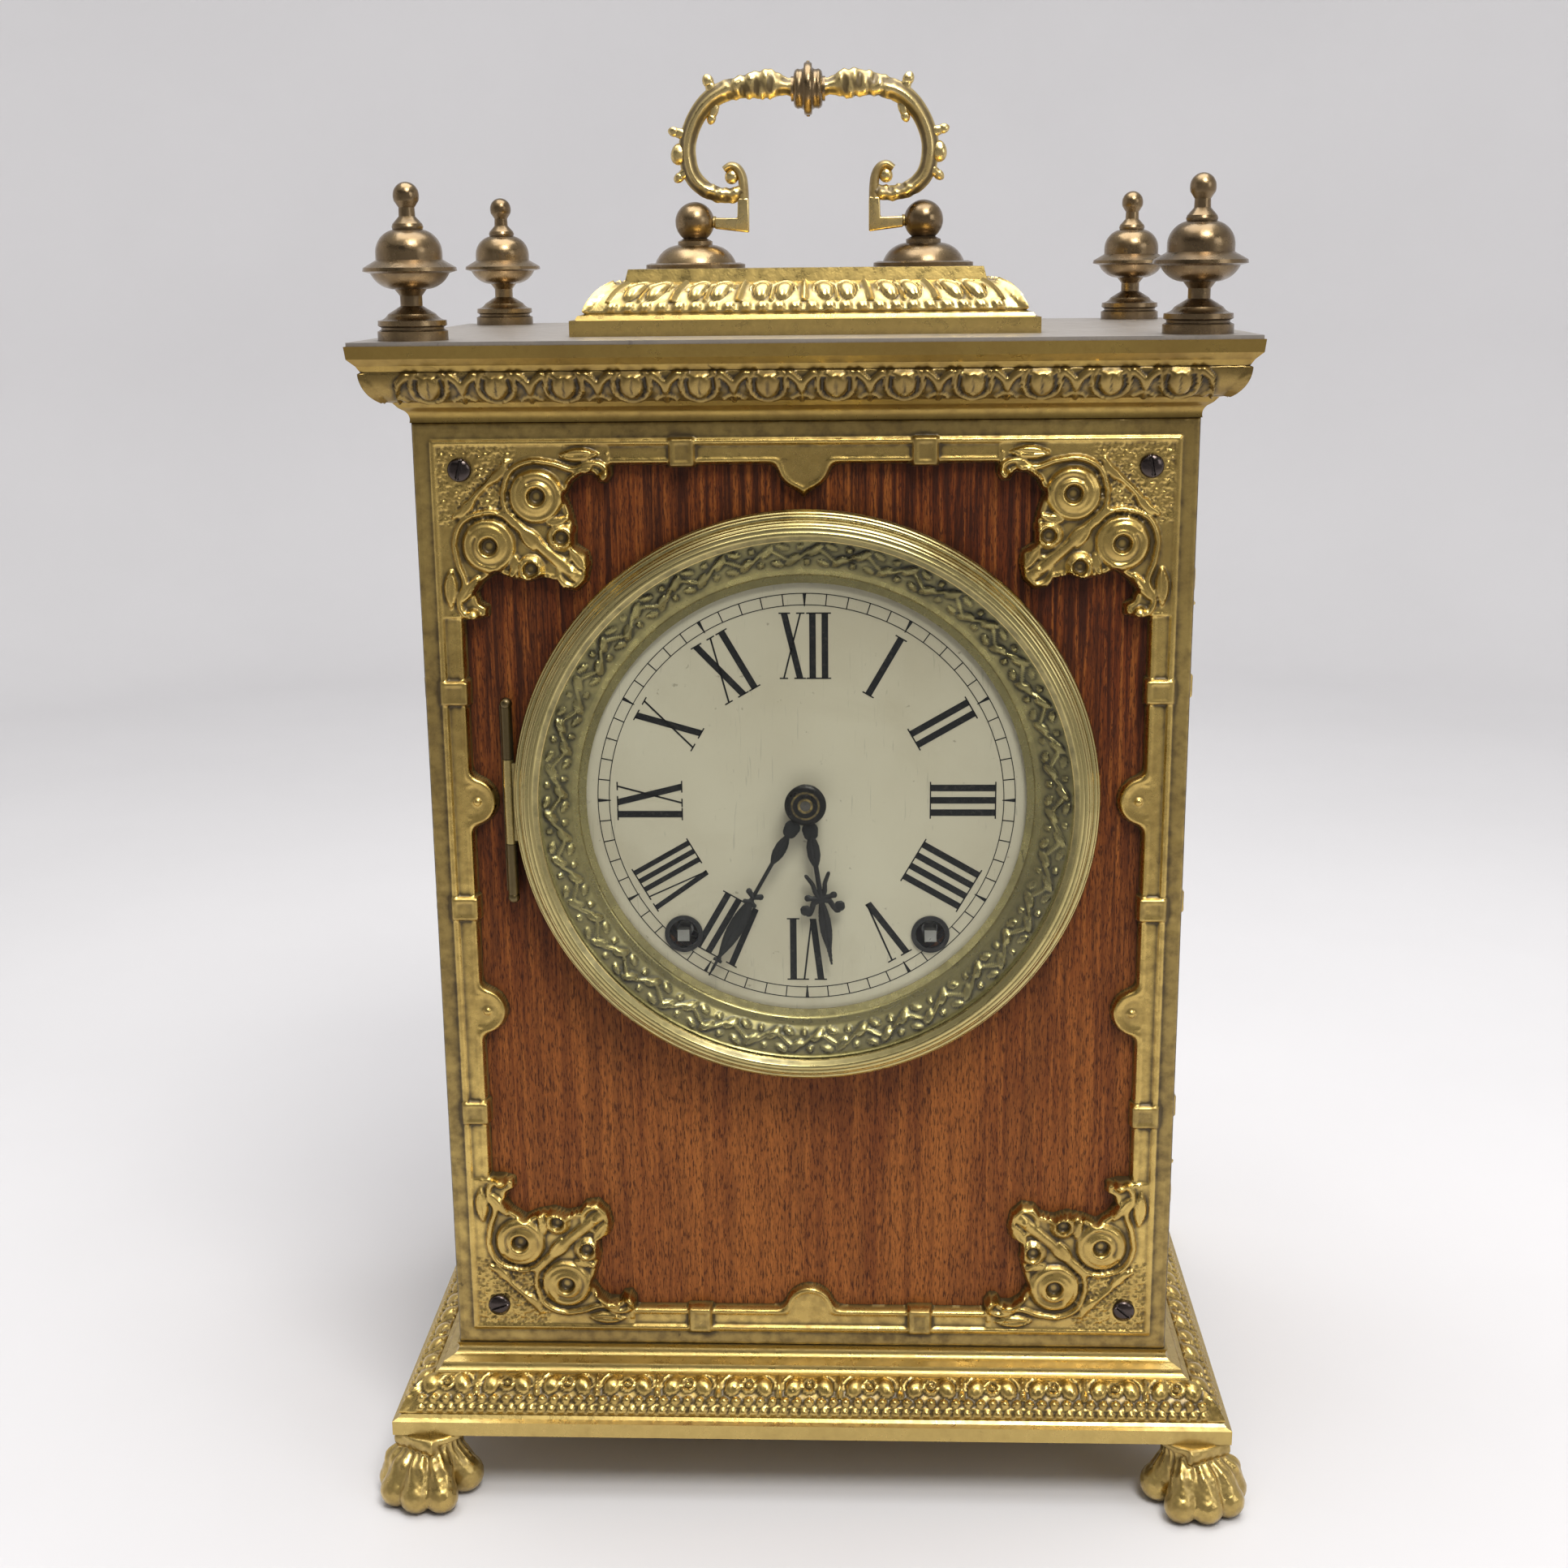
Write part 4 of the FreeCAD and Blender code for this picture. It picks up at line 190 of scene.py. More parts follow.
def normals_of(line):
    """Unit normal of a line at each of its points, to the right of its direction."""
    tangent = np.gradient(line, axis=0)
    tangent /= np.linalg.norm(tangent, axis=1)[:, None]
    return np.stack([tangent[:, 1], -tangent[:, 0]], axis=1)


def blurred(values, times):
    """Grid of values, each averaged with its four neighbours a number of times."""
    for _ in range(times):
        wide = np.pad(values, 1, mode="edge")
        values = (wide[1:-1, 1:-1] * 2 + wide[:-2, 1:-1] + wide[2:, 1:-1] + wide[1:-1, :-2]
                  + wide[1:-1, 2:]) / 6
    return values


def cavity_of(height, times=16, gain=2.2):
    """How far a point lies below its surroundings, 0 to 1."""
    return np.clip((blurred(height, times) - height) * gain, 0, 1)


def lattice_noise(shape, cell, seed):
    """Smooth noise of about -1 to 1 on a grid, with features of cell grid steps."""
    dice = np.random.default_rng(seed)
    rows = int(shape[0] / cell) + 3
    columns = int(shape[1] / cell) + 3
    knots = dice.uniform(-1, 1, (rows, columns))
    y = np.arange(shape[0]) / cell
    x = np.arange(shape[1]) / cell
    yi, xi = y.astype(int), x.astype(int)
    yf, xf = y - yi, x - xi
    yf = (yf * yf * (3 - 2 * yf))[:, None]
    xf = (xf * xf * (3 - 2 * xf))[None, :]
    low = knots[yi][:, xi] * (1 - xf) + knots[yi][:, xi + 1] * xf
    high = knots[yi + 1][:, xi] * (1 - xf) + knots[yi + 1][:, xi + 1] * xf
    return low * (1 - yf) + high * yf


# ---------------------------------------------------------------------------------------------
# drawing in height fields
# ---------------------------------------------------------------------------------------------
def to_segment(x, z, a, b):
    """Distance to the segment a-b and the place along it, 0 to 1."""
    dx, dz = b[0] - a[0], b[1] - a[1]
    along = np.clip(((x - a[0]) * dx + (z - a[1]) * dz) / (dx * dx + dz * dz + 1e-9), 0, 1)
    return np.hypot(x - a[0] - along * dx, z - a[1] - along * dz), along


def to_polygon(x, z, points):
    """Signed distance to a closed polygon, negative inside."""
    near = np.full(x.shape, 1e9)
    inside = np.zeros(x.shape, dtype=bool)
    for a, b in zip(points, points[1:] + points[:1]):
        near = np.minimum(near, to_segment(x, z, a, b)[0])
        if a[1] != b[1]:
            crosses = (a[1] > z) != (b[1] > z)
            inside ^= crosses & (x < (b[0] - a[0]) * (z - a[1]) / (b[1] - a[1]) + a[0])
    return np.where(inside, -near, near)


def smooth_line(points, per=8):
    """Catmull-Rom curve through points."""
    ends = [points[0]] + list(points) + [points[-1]]
    line = []
    for a, b, c, d in zip(ends, ends[1:], ends[2:], ends[3:]):
        for step in range(per):
            t = step / per
            line.append(tuple(0.5 * (2 * p + (r - o) * t + (2 * o - 5 * p + 4 * r - s) * t * t
                                     + (3 * p - o - 3 * r + s) * t ** 3) for o, p, r, s in zip(a, b, c, d)))
    line.append(tuple(points[-1]))
    return line


def rounded(*shares):
    """Half-round height: 1 in the middle, 0 from where the squares of the shares add up to 1."""
    rest = 1
    for share in shares:
        rest = rest - share ** 2
    return np.sqrt(np.clip(rest, 0, 1))


def hump(share):
    """Bell-shaped height, 1 in the middle."""
    return np.exp(-share ** 2)


def stroke(x, z, line, start_width, end_width, high, start_high=None):
    """Half-round raised line along points, with a width that changes along it."""
    best = np.zeros(x.shape)
    count = len(line) - 1
    start_high = high if start_high is None else start_high
    for index, (a, b) in enumerate(zip(line, line[1:])):
        distance, along = to_segment(x, z, a, b)
        share = (index + along) / count
        width = start_width + (end_width - start_width) * share
        tall = start_high + (high - start_high) * share
        best = np.maximum(best, tall * rounded(distance / width))
    return best


def dome(x, z, a, b, radius, high):
    """Round boss about the point a, b."""
    return high * np.sqrt(np.clip(1 - ((x - a) ** 2 + (z - b) ** 2) / radius ** 2, 0, 1))


def leaf(x, z, a, b, wide, high):
    """Pointed leaf from a to b with a sunk vein."""
    distance, along = to_segment(x, z, a, b)
    width = wide * np.sin(np.pi * np.clip(along * 0.9 + 0.08, 0, 1)) + 0.05
    body = np.clip(1 - (distance / width) ** 2, 0, 1)
    vein = hump(distance / (wide * 0.16)) * 0.45
    return high * np.sqrt(body) * (1 - vein * (body > 0.05))


def edge(distance, high, soft=1.0):
    """Height over a shape whose signed distance is given: rounded rim, dropping away outside."""
    share = (0.3 - distance) / soft
    rise = np.where(share < 0, 2.5 * share, 1 - (1 - np.clip(share, 0, 1)) ** 2)
    return high * rise


def blend_min(a, b, soft):
    """Smaller of two distances, with the step between them rounded."""
    mix = np.clip(0.5 + 0.5 * (b - a) / soft, 0, 1)
    return b * (1 - mix) + a * mix - soft * mix * (1 - mix)


# ---------------------------------------------------------------------------------------------
# brass frames on the front and the sides
# ---------------------------------------------------------------------------------------------
MOUNT_EDGE = [(57.4, 10.3), (57.4, 15.5), (56.0, 17.6), (53.6, 17.4), (52.2, 15.0), (49.0, 15.2), (46.2, 17.1),
              (43.9, 21.1), (45.5, 25.9), (46.6, 30.6), (46.2, 35.4), (49.8, 37.8), (50.6, 41.0), (49.4, 46.2),
              (46.2, 49.2), (42.3, 48.6), (40.3, 46.0), (36.3, 45.0), (31.9, 46.4), (27.0, 45.4), (22.8, 43.6),
              (19.0, 46.2), (16.8, 49.4), (17.6, 52.2), (20.0, 53.6), (19.8, 56.6), (16.4, 57.6), (10.0, 57.6)]
MOUNT_LEAVES = [((43.0, 9.6), (54.0, 9.2), 2.1, 1.6), ((44.8, 17.4), (52.6, 12.0), 1.6, 1.5),
                ((38.4, 29.2), (45.2, 27.4), 1.4, 1.5), ((44.8, 36.4), (49.4, 43.4), 1.7, 1.3),
                ((21.6, 17.6), (27.4, 12.6), 1.5, 1.4), ((30.0, 30.2), (37.0, 34.4), 1.5, 1.3)]
MOUNT_BUTTON = (45.2, 43.4)


def scroll_disc(x, z, a, b, radius, eye, high):
    """Broad flat scroll end with a sunk eye, a raised lip round it and a winding groove."""
    away = np.hypot(x - a, z - b)
    turn = np.arctan2(z - b, x - a) / (2 * math.pi)
    disc = high * np.sqrt(np.clip((radius - away) / 1.6, 0, 1))
    disc = disc + 0.45 * hump((away - eye - 1.1) / 0.6)
    winding = eye + 2.2 + (radius - eye - 3.4) * ((turn + 0.35) % 1.0)
    disc = disc - 0.55 * hump((away - winding) / 0.55) * (away < radius - 0.6)
    sunk = np.clip((eye - away) / 0.5 + 0.5, 0, 1)
    return np.where(away < radius, disc * (1 - sunk) + 0.06 * sunk, 0)


def corner_mount(a, b):
    """Height of a corner mount; a and b are the distances from the two outer edges of the frame."""
    outline = [(2.0, 2.0), (57.4, 2.0)] + MOUNT_EDGE + [(2.0, 57.6)]
    distance = to_polygon(a, b, outline)
    ground = edge(distance, 3.5, 1.1)
    ground = ground + 0.55 * hump((distance + 1.25) / 0.55) * (np.minimum(a, b) > 9)
    tail = smooth_line([(29.6, 28.6), (26.4, 25.0), (25.9, 20.0), (28.2, 14.0), (33.8, 11.2), (40.5, 11.8),
                        (46.5, 13.6), (50.8, 11.8), (54.6, 12.2), (56.6, 15.0)])
    screen = smooth_line([(27.0, 11.4), (23.8, 15.2), (19.4, 19.4), (15.2, 23.8), (11.4, 27.0)])
    ring = np.abs(np.hypot(a - MOUNT_BUTTON[0], b - MOUNT_BUTTON[1]) - 3.9)
    forms = [np.zeros(a.shape), stroke(a, b, screen, 0.9, 0.9, 1.1), dome(a, b, *MOUNT_BUTTON, 1.5, 1.7),
             stroke(a, b, [(26.0, 26.0), (37.6, 37.0), (46.4, 44.4)], 1.5, 2.0, 1.2), 0.6 * rounded(ring / 0.8)]
    for x, z in ((a, b), (b, a)):
        forms += [scroll_disc(x, z, 35.6, 21.2, 8.0, 2.3, 1.9), scroll_disc(x, z, 42.4, 33.2, 4.3, 2.0, 1.6),
                  stroke(x, z, tail, 0.8, 1.0, 1.3, 1.2), dome(x, z, 56.0, 15.6, 2.1, 2.3)]
        forms += [leaf(x, z, *shape) for shape in MOUNT_LEAVES]
    raised = np.maximum.reduce(forms)
    stipple = np.sin(a * 3.9 + np.sin(b * 2.3) * 1.4) * np.sin(b * 3.7 + np.sin(a * 2.9) * 1.4)
    field = (raised < 0.05) & (distance < -1.6) & (np.maximum(a, b) < 30) & (np.minimum(a, b) > 7)
    seat = np.hypot(a - 13.5, b - 13.5)
    ground = ground + np.where(field & (seat > 4.2), 0.75 * stipple, 0)
    return np.where(distance < -0.2, ground + 1.12 * raised, ground)


def frame_height(half_x, tab_spread):
    """Grid of x, z and height over the base plane of a frame, and the painted shade on it."""
    xs = np.linspace(-half_x, half_x, int(half_x * 2 / FRAME_STEP) + 1)
    zs = np.linspace(0, BODY_HEIGHT, int(BODY_HEIGHT / FRAME_STEP) + 1)
    x, z = np.meshgrid(xs, zs, indexing="ij")
    dx = half_x - np.abs(x)
    dz = np.minimum(z, BODY_HEIGHT - z)
    rim = np.minimum(dx, dz)
    shape = rim - FRAME_BAR
    middle = BODY_HEIGHT / 2
    lobes = [np.hypot(dx - TAB_MIDDLE, z - middle - rise) for rise in (-PIN_RISE, PIN_RISE)]
    for lobe in lobes:
        shape = blend_min(shape, lobe - 7.6, 3.0)
    shape = blend_min(shape, np.hypot(x, dz - TAB_MIDDLE) - 7.8, 3.0)
    tip, along = to_segment(np.abs(x), BODY_HEIGHT - z, (0.0, 14.0), (0.0, 22.0))
    shape = blend_min(shape, tip - 3.4 * (1 - along), 2.6)
    height = edge(shape, 3.0)
    height = height + 0.5 * hump((shape + 1.3) / 0.6)
    height = height + np.where(rim < 5.0, 0.5, 0.0)
    height = height + 1.25 * rounded((rim - 5.9) / 0.95)
    for lobe, rise in zip(lobes, (-PIN_RISE, PIN_RISE)):
        height = height + dome(dx, z - middle, 14.0, rise, 1.3, 1.0)
        height = height + 0.25 * hump(np.abs(lobe - 5.2) / 0.5) * (dx > 11)
    for along, reach in ((z - middle, dx), (z - middle - TAB_RISE, dx), (z - middle + TAB_RISE, dx),
                         (np.abs(x) - tab_spread, dz)):
        box = np.maximum(np.abs(along) - 3.75, np.maximum(reach - 13.2, 4.6 - reach))
        height = np.maximum(height, edge(box, 4.9, 0.8))
        inner = np.maximum(np.abs(along) - 2.4, np.maximum(reach - 11.6, 6.2 - reach))
        height = height - 0.35 * np.clip(-inner / 0.5, 0, 1)
    near = (dx < MOUNT_REACH) & (dz < MOUNT_REACH)
    mount = np.full(x.shape, -9.0)
    mount[near] = corner_mount(dx[near], dz[near])
    height = np.maximum(height, mount)
    height = height + 0.05 * lattice_noise(x.shape, 5, 3) + 0.10 * lattice_noise(x.shape, 40, 4)
    height = blurred(height - 0.7 * np.clip(1 - rim / 0.6, 0, 1) ** 2, 1)
    # painted shade on the outer rim, the raised tab faces and the bars
    painted_shade = 0.44 * (rim < 4.8) + 0.26 * (height > 4.5) * (mount < 0) + 0.10 * (shape < 0) * (mount < 0)
    return x, z, height, painted_shade


def brass_frame(name, half_x, tab_spread, place, flip, material, replaced):
    """Cast frame with corner mounts; place turns x, z and height into points."""
    x, z, height, painted_shade = frame_height(half_x, tab_spread)
    peak = np.maximum(np.maximum(height[:-1, :-1], height[1:, :-1]),
                      np.maximum(height[:-1, 1:], height[1:, 1:]))
    kept = peak > -0.2
    # recess darkness plus the painted shade of the rim, tabs and bars
    shade_and_dirt = np.clip(cavity_of(np.clip(height, 0, 9)) + painted_shade, 0, 1)
    front = place(x, z, np.maximum(height, -0.35))
    back = place(x, z, np.full(x.shape, -0.4))
    obj = closed_sheet(name, front, back, shade_and_dirt, kept, flip)
    return finish_piece(obj, "case", "gilt_brass", material, replaced)


def frame_screws(material):
    """Domed screw heads with a slot, on the four corners of the front frame."""
    source = NODES["front_frame_screws"].data
    spots = np.array([tuple(vertex.co) for vertex in source.vertices]) / MM
    angle, share = np.meshgrid(np.linspace(0, 2 * math.pi, 57), np.linspace(0, 1, 22), indexing="ij")
    u = share * 3.5 * np.cos(angle)
    v = share * 3.5 * np.sin(angle)
    pieces = []
    for left, low, degrees in ((1, 1, 20), (1, 0, 75), (0, 1, 140), (0, 0, 100)):
        own = spots[((spots[:, 0] < 0) == left) & ((spots[:, 2] < BODY_BOTTOM + BODY_HEIGHT / 2) == low)]
        middle = (own.min(axis=0) + own.max(axis=0)) / 2
        slot = math.radians(degrees)
        cut = np.abs(u * math.sin(slot) - v * math.cos(slot)) < 0.42
        rise = 1.7 * np.sqrt(np.clip(1.02 - share ** 2, 0, 1)) * np.where(cut, 0.55, 1.0)
        base = own[:, 1].min() + 1.5
        front = np.stack([middle[0] + u, base - rise, middle[2] + v], axis=-1)
        back = np.stack([middle[0] + u * 0.98, np.full(u.shape, base + 1.2), middle[2] + v * 0.98], axis=-1)
        pieces.append(closed_sheet("screw_head", front, back, np.where(cut, 0.8, 0.1)))
    return finish_piece(joined("frame_screw_heads", pieces), "case", "plain_brass", material,
                        "front_frame_screws")


def front_place(x, z, height):
    """Points over the front of the case."""
    return np.stack([x, PANEL_FRONT - height, BODY_BOTTOM + z], axis=-1)


def side_place(side):
    """Function that gives points over one side of the case."""
    def place(x, z, height):
        return np.stack([side * (SIDE_BASE + height), x, BODY_BOTTOM + z], axis=-1)
    return place


# ---------------------------------------------------------------------------------------------
# ornament bands on the mouldings
# ---------------------------------------------------------------------------------------------
def arc_profile(start, stop, sag, count):
    """Points from start to stop, bowed outward by sag."""
    start = np.array(start)
    stop = np.array(stop)
    chord = stop - start
    side = np.array([chord[1], -chord[0]]) / np.linalg.norm(chord)
    share = np.linspace(0, 1, count)[:, None]
    return start + chord * share + side * sag * 4 * share * (1 - share)


def band(name, half_x, half_y, level, profile, ornament, material, step=0.5):
    """Closed strips round the four sides; ornament(s, t, reach) gives heights along and up the profile."""
    normal = normals_of(profile)
    lengths = run_of(profile)
    pieces = []
    for index in range(4):
        half, away = ((half_x, half_y), (half_y, half_x))[index % 2]
        columns = int(2 * half / step) + 1
        share = np.linspace(-1, 1, columns)[:, None]
        reach = half + profile[:, 0][None, :]
        s = share * reach
        t = np.broadcast_to(lengths[None, :], s.shape)
        height = 0.12 + ornament(s, t, reach)
        height = height + 0.04 * lattice_noise(s.shape, 4, 11 + index)
        lip = np.minimum(t, lengths[-1] - t)
        height = np.where(lip < 0.3, -0.3, height)
        fade = np.clip(1 - (reach - np.abs(s)) / 2.0, 0, 1)
        shade_and_dirt = cavity_of(height, 10, 2.6)
        grids = []
        for value in (height, np.full(s.shape, -0.45)):
            out = profile[:, 0][None, :] + value * normal[:, 0][None, :]
            along = s + np.sign(share) * fade * value * normal[:, 0][None, :]
            z = level + profile[:, 1][None, :] + value * normal[:, 1][None, :]
            turn = index * math.pi / 2
            x_local, y_local = along, -(away + out)
            x = x_local * math.cos(turn) - y_local * math.sin(turn)
            y = x_local * math.sin(turn) + y_local * math.cos(turn)
            grids.append(np.stack([x, y, z], axis=-1))
        pieces.append(closed_sheet(name + "_side", *grids, shade_and_dirt))
    return finish_piece(joined(name, pieces), "case", "gilt_brass", material)


def repeated(s, reach, pitch, margin):
    """Place within a motif, whether it is clear of the corners, and the pitch of a whole number of motifs."""
    half = reach.max() - margin
    count = max(2, round(2 * half / pitch))
    real = 2 * half / count
    local = (s + half) % real - real / 2
    return local, np.abs(s) < half, real


def corner_leaf(s, t, reach, tall, high):
    """Leaf rib that covers the mitre."""
    away = reach - np.abs(s)
    width = 2.6 * np.sin(np.pi * np.clip(t / tall * 0.86 + 0.1, 0, 1)) + 0.2
    rib = rounded(away / width) * high
    vein = 0.25 * np.abs(np.sin((t + away * 1.2) * 1.7))
    return np.where(away < width, rib - vein * (away > 0.5), 0)


def cornice_ornament(s, t, reach):
    """Shields in oval rings with forked leaves between."""
    u, inside, pitch = repeated(s, reach, 19.05, 9.5)
    tall = t.max()
    low = np.where(t < 6.2, 4.6, 4.4)
    egg = rounded(u / 3.4, (t - 6.2) / low)
    shield = 1.5 * np.minimum(egg * 1.25, 1.0) * np.clip((tall - 1.4 - t) / 0.6, 0, 1)
    shield = shield - 0.45 * hump(u / 0.45) * (t > 3.5) * (shield > 0.5)
    cap = 1.1 * np.clip(1 - np.abs(u) / 3.9, 0, 1) ** 0.25 * hump((t - tall + 1.7) / 0.55)
    oval = np.hypot(u / 5.2, (t - 6.4) / 5.9)
    rim = 0.95 * rounded((oval - 1) * 5.2 / 0.75)
    v = pitch / 2 - np.abs(u)
    stem = stroke(v, t, [(0.0, 0.6), (0.0, tall - 3.4)], 1.0, 0.7, 1.1)
    fork = stroke(v, t, smooth_line([(0.0, 4.6), (1.0, 7.4), (3.4, tall - 1.2)], 5), 1.0, 1.2, 1.2)
    foot = stroke(v, t, smooth_line([(0.0, 3.6), (1.4, 2.6), (3.0, 1.0)], 5), 0.8, 0.6, 0.8)
    motif = np.maximum.reduce([shield, rim * (oval < 1.3), cap, stem, fork, foot])
    return np.maximum(motif * inside, corner_leaf(s, t, reach, tall, 0.55))


def base_ornament(s, t, reach):
    """Paired gadroons with a boss between them, a row of beads and a row of small leaves."""
    u, inside, pitch = repeated(s, reach, 20.0, 4.5)
    tall = t.max()
    side = np.abs(u)
    bulb = 1.6 * rounded((side - 5.0 + (t - 9.5) * 0.16) / 2.7, (t - 9.8) / 3.3)
    bulb = bulb - 0.35 * hump((side - 5.0) / 0.35) * (t < 9.0) * (bulb > 0.4)
    ring = np.abs(np.hypot(u, t - 10.0) - 2.0)
    boss = np.maximum(dome(u, t, 0.0, 10.0, 1.0, 1.2), 1.0 * rounded(ring / 0.6))
    arch = np.abs(np.hypot((side - 5.0) / 1.0, (t - 9.6) / 1.15) - 3.5)
    arch = 0.5 * rounded(arch / 0.5) * (t > 8.6)
    bar = 1.1 * hump((pitch / 2 - side) / 0.6) * (t > 5.8)
    bead_u = (u + pitch / 2) % (pitch / 5) - pitch / 10
    beads = dome(bead_u, t, 0.0, 5.0, 1.35, 1.3)
    line = 0.3 * hump((t - 3.5) / 0.35)
    leaf_u = (u + pitch / 2) % (pitch / 6) - pitch / 12
    leaves = 1.0 * rounded(leaf_u / 1.25, (t - 1.9) / 1.3)
    motif = np.maximum.reduce([bulb, boss, arch, bar, beads, line, leaves])
    return np.maximum(motif * inside, corner_leaf(s, t, reach, tall, 0.7))


def plinth_ornament(s, t, reach):
    """Pairs of gadroons between upright ridges over a row of foliage."""
    scale = reach / reach.max()
    u, inside, pitch = repeated(s / scale, reach, 19.8, 5.0)
    u = u * scale
    pitch = pitch * scale
    tall = t.max()
    side = np.abs(u)
    bulb = 1.5 * rounded((side - 3.3) / 2.5, (t - 7.6) / 3.7)
    bulb = bulb - 0.3 * hump((side - 3.3) / 0.4) * (t < 6.5) * (bulb > 0.3)
    ridge = np.maximum(0.8 * hump(u / 0.5), 1.2 * hump((pitch / 2 - side) / 0.8)) * (t > 3.6)
    hood = np.abs(np.hypot((side - 3.3) / 1.0, (t - 7.6) / 1.3) - 3.3)
    hood = 0.7 * rounded(hood / 0.55) * (t > 7.6)
    leaf_u = (u + pitch / 2) % (pitch / 4) - pitch / 8
    leaves = 0.9 * rounded(leaf_u / 1.7, (t - 2.0) / 1.6)
    leaves = leaves - 0.3 * hump(leaf_u / 0.35) * (leaves > 0.2)
    motif = np.maximum.reduce([bulb, ridge, hood, leaves])
    return np.maximum(motif * inside, corner_leaf(s, t, reach, tall, 0.7))


# ---------------------------------------------------------------------------------------------
# embossed sight ring behind the glass
# ---------------------------------------------------------------------------------------------
FOLIAGE_RADIUS = 76.0
FOLIAGE_COUNT = 34


def on_dial(radius, angle, high):
    """Points round the middle of the dial, so high before its face."""
    return np.stack([radius * np.sin(angle), DIAL_FACE - high, DIAL_Z + radius * np.cos(angle)], axis=-1)


def sight_ring(material):
    """Coved ring with a running band of foliage, closed behind."""
    bends = [(65.8, 1.5), (68.0, 1.5), (68.4, 2.1), (70.6, 2.9), (73.2, 4.6), (73.5, 4.7), (79.0, 6.9),
             (79.3, 7.25), (80.2, 7.25)]
    line = []
    for (r1, z1), (r2, z2) in zip(bends, bends[1:]):
        count = max(2, int(math.hypot(r2 - r1, z2 - z1) / 0.4))
        line += [(r1 + (r2 - r1) * k / count, z1 + (z2 - z1) * k / count) for k in range(count)]
    line = np.array(line + bends[-1:])
    angle, radius = np.meshgrid(np.linspace(0, 2 * math.pi, 961), line[:, 0], indexing="ij")
    level = np.broadcast_to(line[:, 1][None, :], radius.shape)
    s = angle * FOLIAGE_RADIUS
    t = radius - 74.6
    pitch = 2 * math.pi * FOLIAGE_RADIUS / FOLIAGE_COUNT
    u = s % pitch - pitch / 2
    side = np.abs(u)
    wave = 1.7 * np.sin(s * 2 * math.pi / pitch)
    motif = 0.9 * rounded((t - wave) / 0.7)
    for a, b, wide, tall, lean, high in ((-3.6, 1.5, 2.6, 1.3, 40, 1.6), (3.6, -1.5, 2.6, 1.3, 40, 1.6),
                                         (-1.0, -2.5, 1.9, 1.0, -25, 1.2), (1.0, 2.5, 1.9, 1.0, -25, 1.2),
                                         (-6.2, -2.3, 1.0, 1.0, 0, 1.3), (6.2, 2.3, 1.0, 1.0, 0, 1.3)):
        turn = math.radians(lean)
        du = (u - a) * math.cos(turn) + (t - b) * math.sin(turn)
        dt = (t - b) * math.cos(turn) - (u - a) * math.sin(turn)
        lobe = high * rounded(du / wide, dt / tall)
        motif = np.maximum(motif, lobe - 0.3 * hump(dt / 0.22) * (lobe > 0.7))
    motif = motif * (1 + 0.5 * lattice_noise(motif.shape, 14, 21))
    motif = motif * np.clip((4.3 - np.abs(t)) / 0.5, 0, 1)
    shade_and_dirt = np.clip(cavity_of(motif, 8, 2.2) + 0.18 * (motif < 0.25), 0, 1) * (np.abs(t) < 4.5) + 0.15
    front = on_dial(radius, angle, level + motif * 0.8)
    obj = closed_sheet("sight_ring_embossed", front, on_dial(radius, angle, level - 0.5), shade_and_dirt)
    return finish_piece(obj, "bezel", "plain_brass", material, "sight_ring")


def bezel_reeds(material):
    """Fine reeds turned into the face of the bezel rim."""
    turn = [(79.0, 9.9), (79.9, 10.6), (80.7, 11.0), (81.9, 10.8), (83.0, 10.2), (83.8, 9.2), (84.1, 8.4),
            (84.5, 7.4), (85.6, 6.5), (86.4, 5.4), (86.9, 4.0), (86.95, 1.6)]
    line = np.array(smooth_line(turn, 7))
    normal = normals_of(line)
    normal *= np.where(normal[:, 1:2] + normal[:, 0:1] < 0, -1, 1)
    run = run_of(line)
    share = run / run[-1]
    reed = 0.10 + 0.34 * np.abs(np.sin(np.pi * run / 1.72)) ** 0.75 * np.clip((share - 0.10) / 0.04, 0, 1)
    reed = reed * np.clip((0.92 - share) / 0.04, 0, 1)
    reed = np.where((share < 0.02) | (share > 0.985), -0.4, reed)
    grids = []
    for value in (reed, np.full(reed.shape, -0.5)):
        radius = line[:, 0] + normal[:, 0] * value
        level = line[:, 1] + normal[:, 1] * value
        angle, wide = np.meshgrid(np.linspace(0, 2 * math.pi, 541), radius, indexing="ij")
        grids.append(on_dial(wide, angle, np.broadcast_to(level[None, :], wide.shape)))
    # painted shade: dark lines in the grooves between the reeds and at the two edges of the rim
    dark = np.clip(0.80 - reed * 2.4, 0, 1)
    obj = closed_sheet("bezel_reeds", *grids, np.broadcast_to(dark[None, :], wide.shape))
    return finish_piece(obj, "bezel", "plain_brass", material)


# ---------------------------------------------------------------------------------------------
# hands
# ---------------------------------------------------------------------------------------------
HAND_STEP = 0.15


def hand_form(u, v, hub, strokes, leaves, balls=()):
    """Height field of a hand that points up v; strokes and balls stand on both sides of its middle line."""
    side = np.abs(u)
    forms = [dome(u, v, 0.0, 0.0, hub, 1.0)]
    forms += [stroke(side, v, line, start, stop, 1.0) for line, start, stop in strokes]
    forms += [dome(side, v, across, along, radius, 1.0) for across, along, radius in balls]
    forms += [leaf(u, v, (0.0, start), (0.0, stop), wide, 1.0) for start, stop, wide in leaves]
    return np.maximum.reduce(forms)


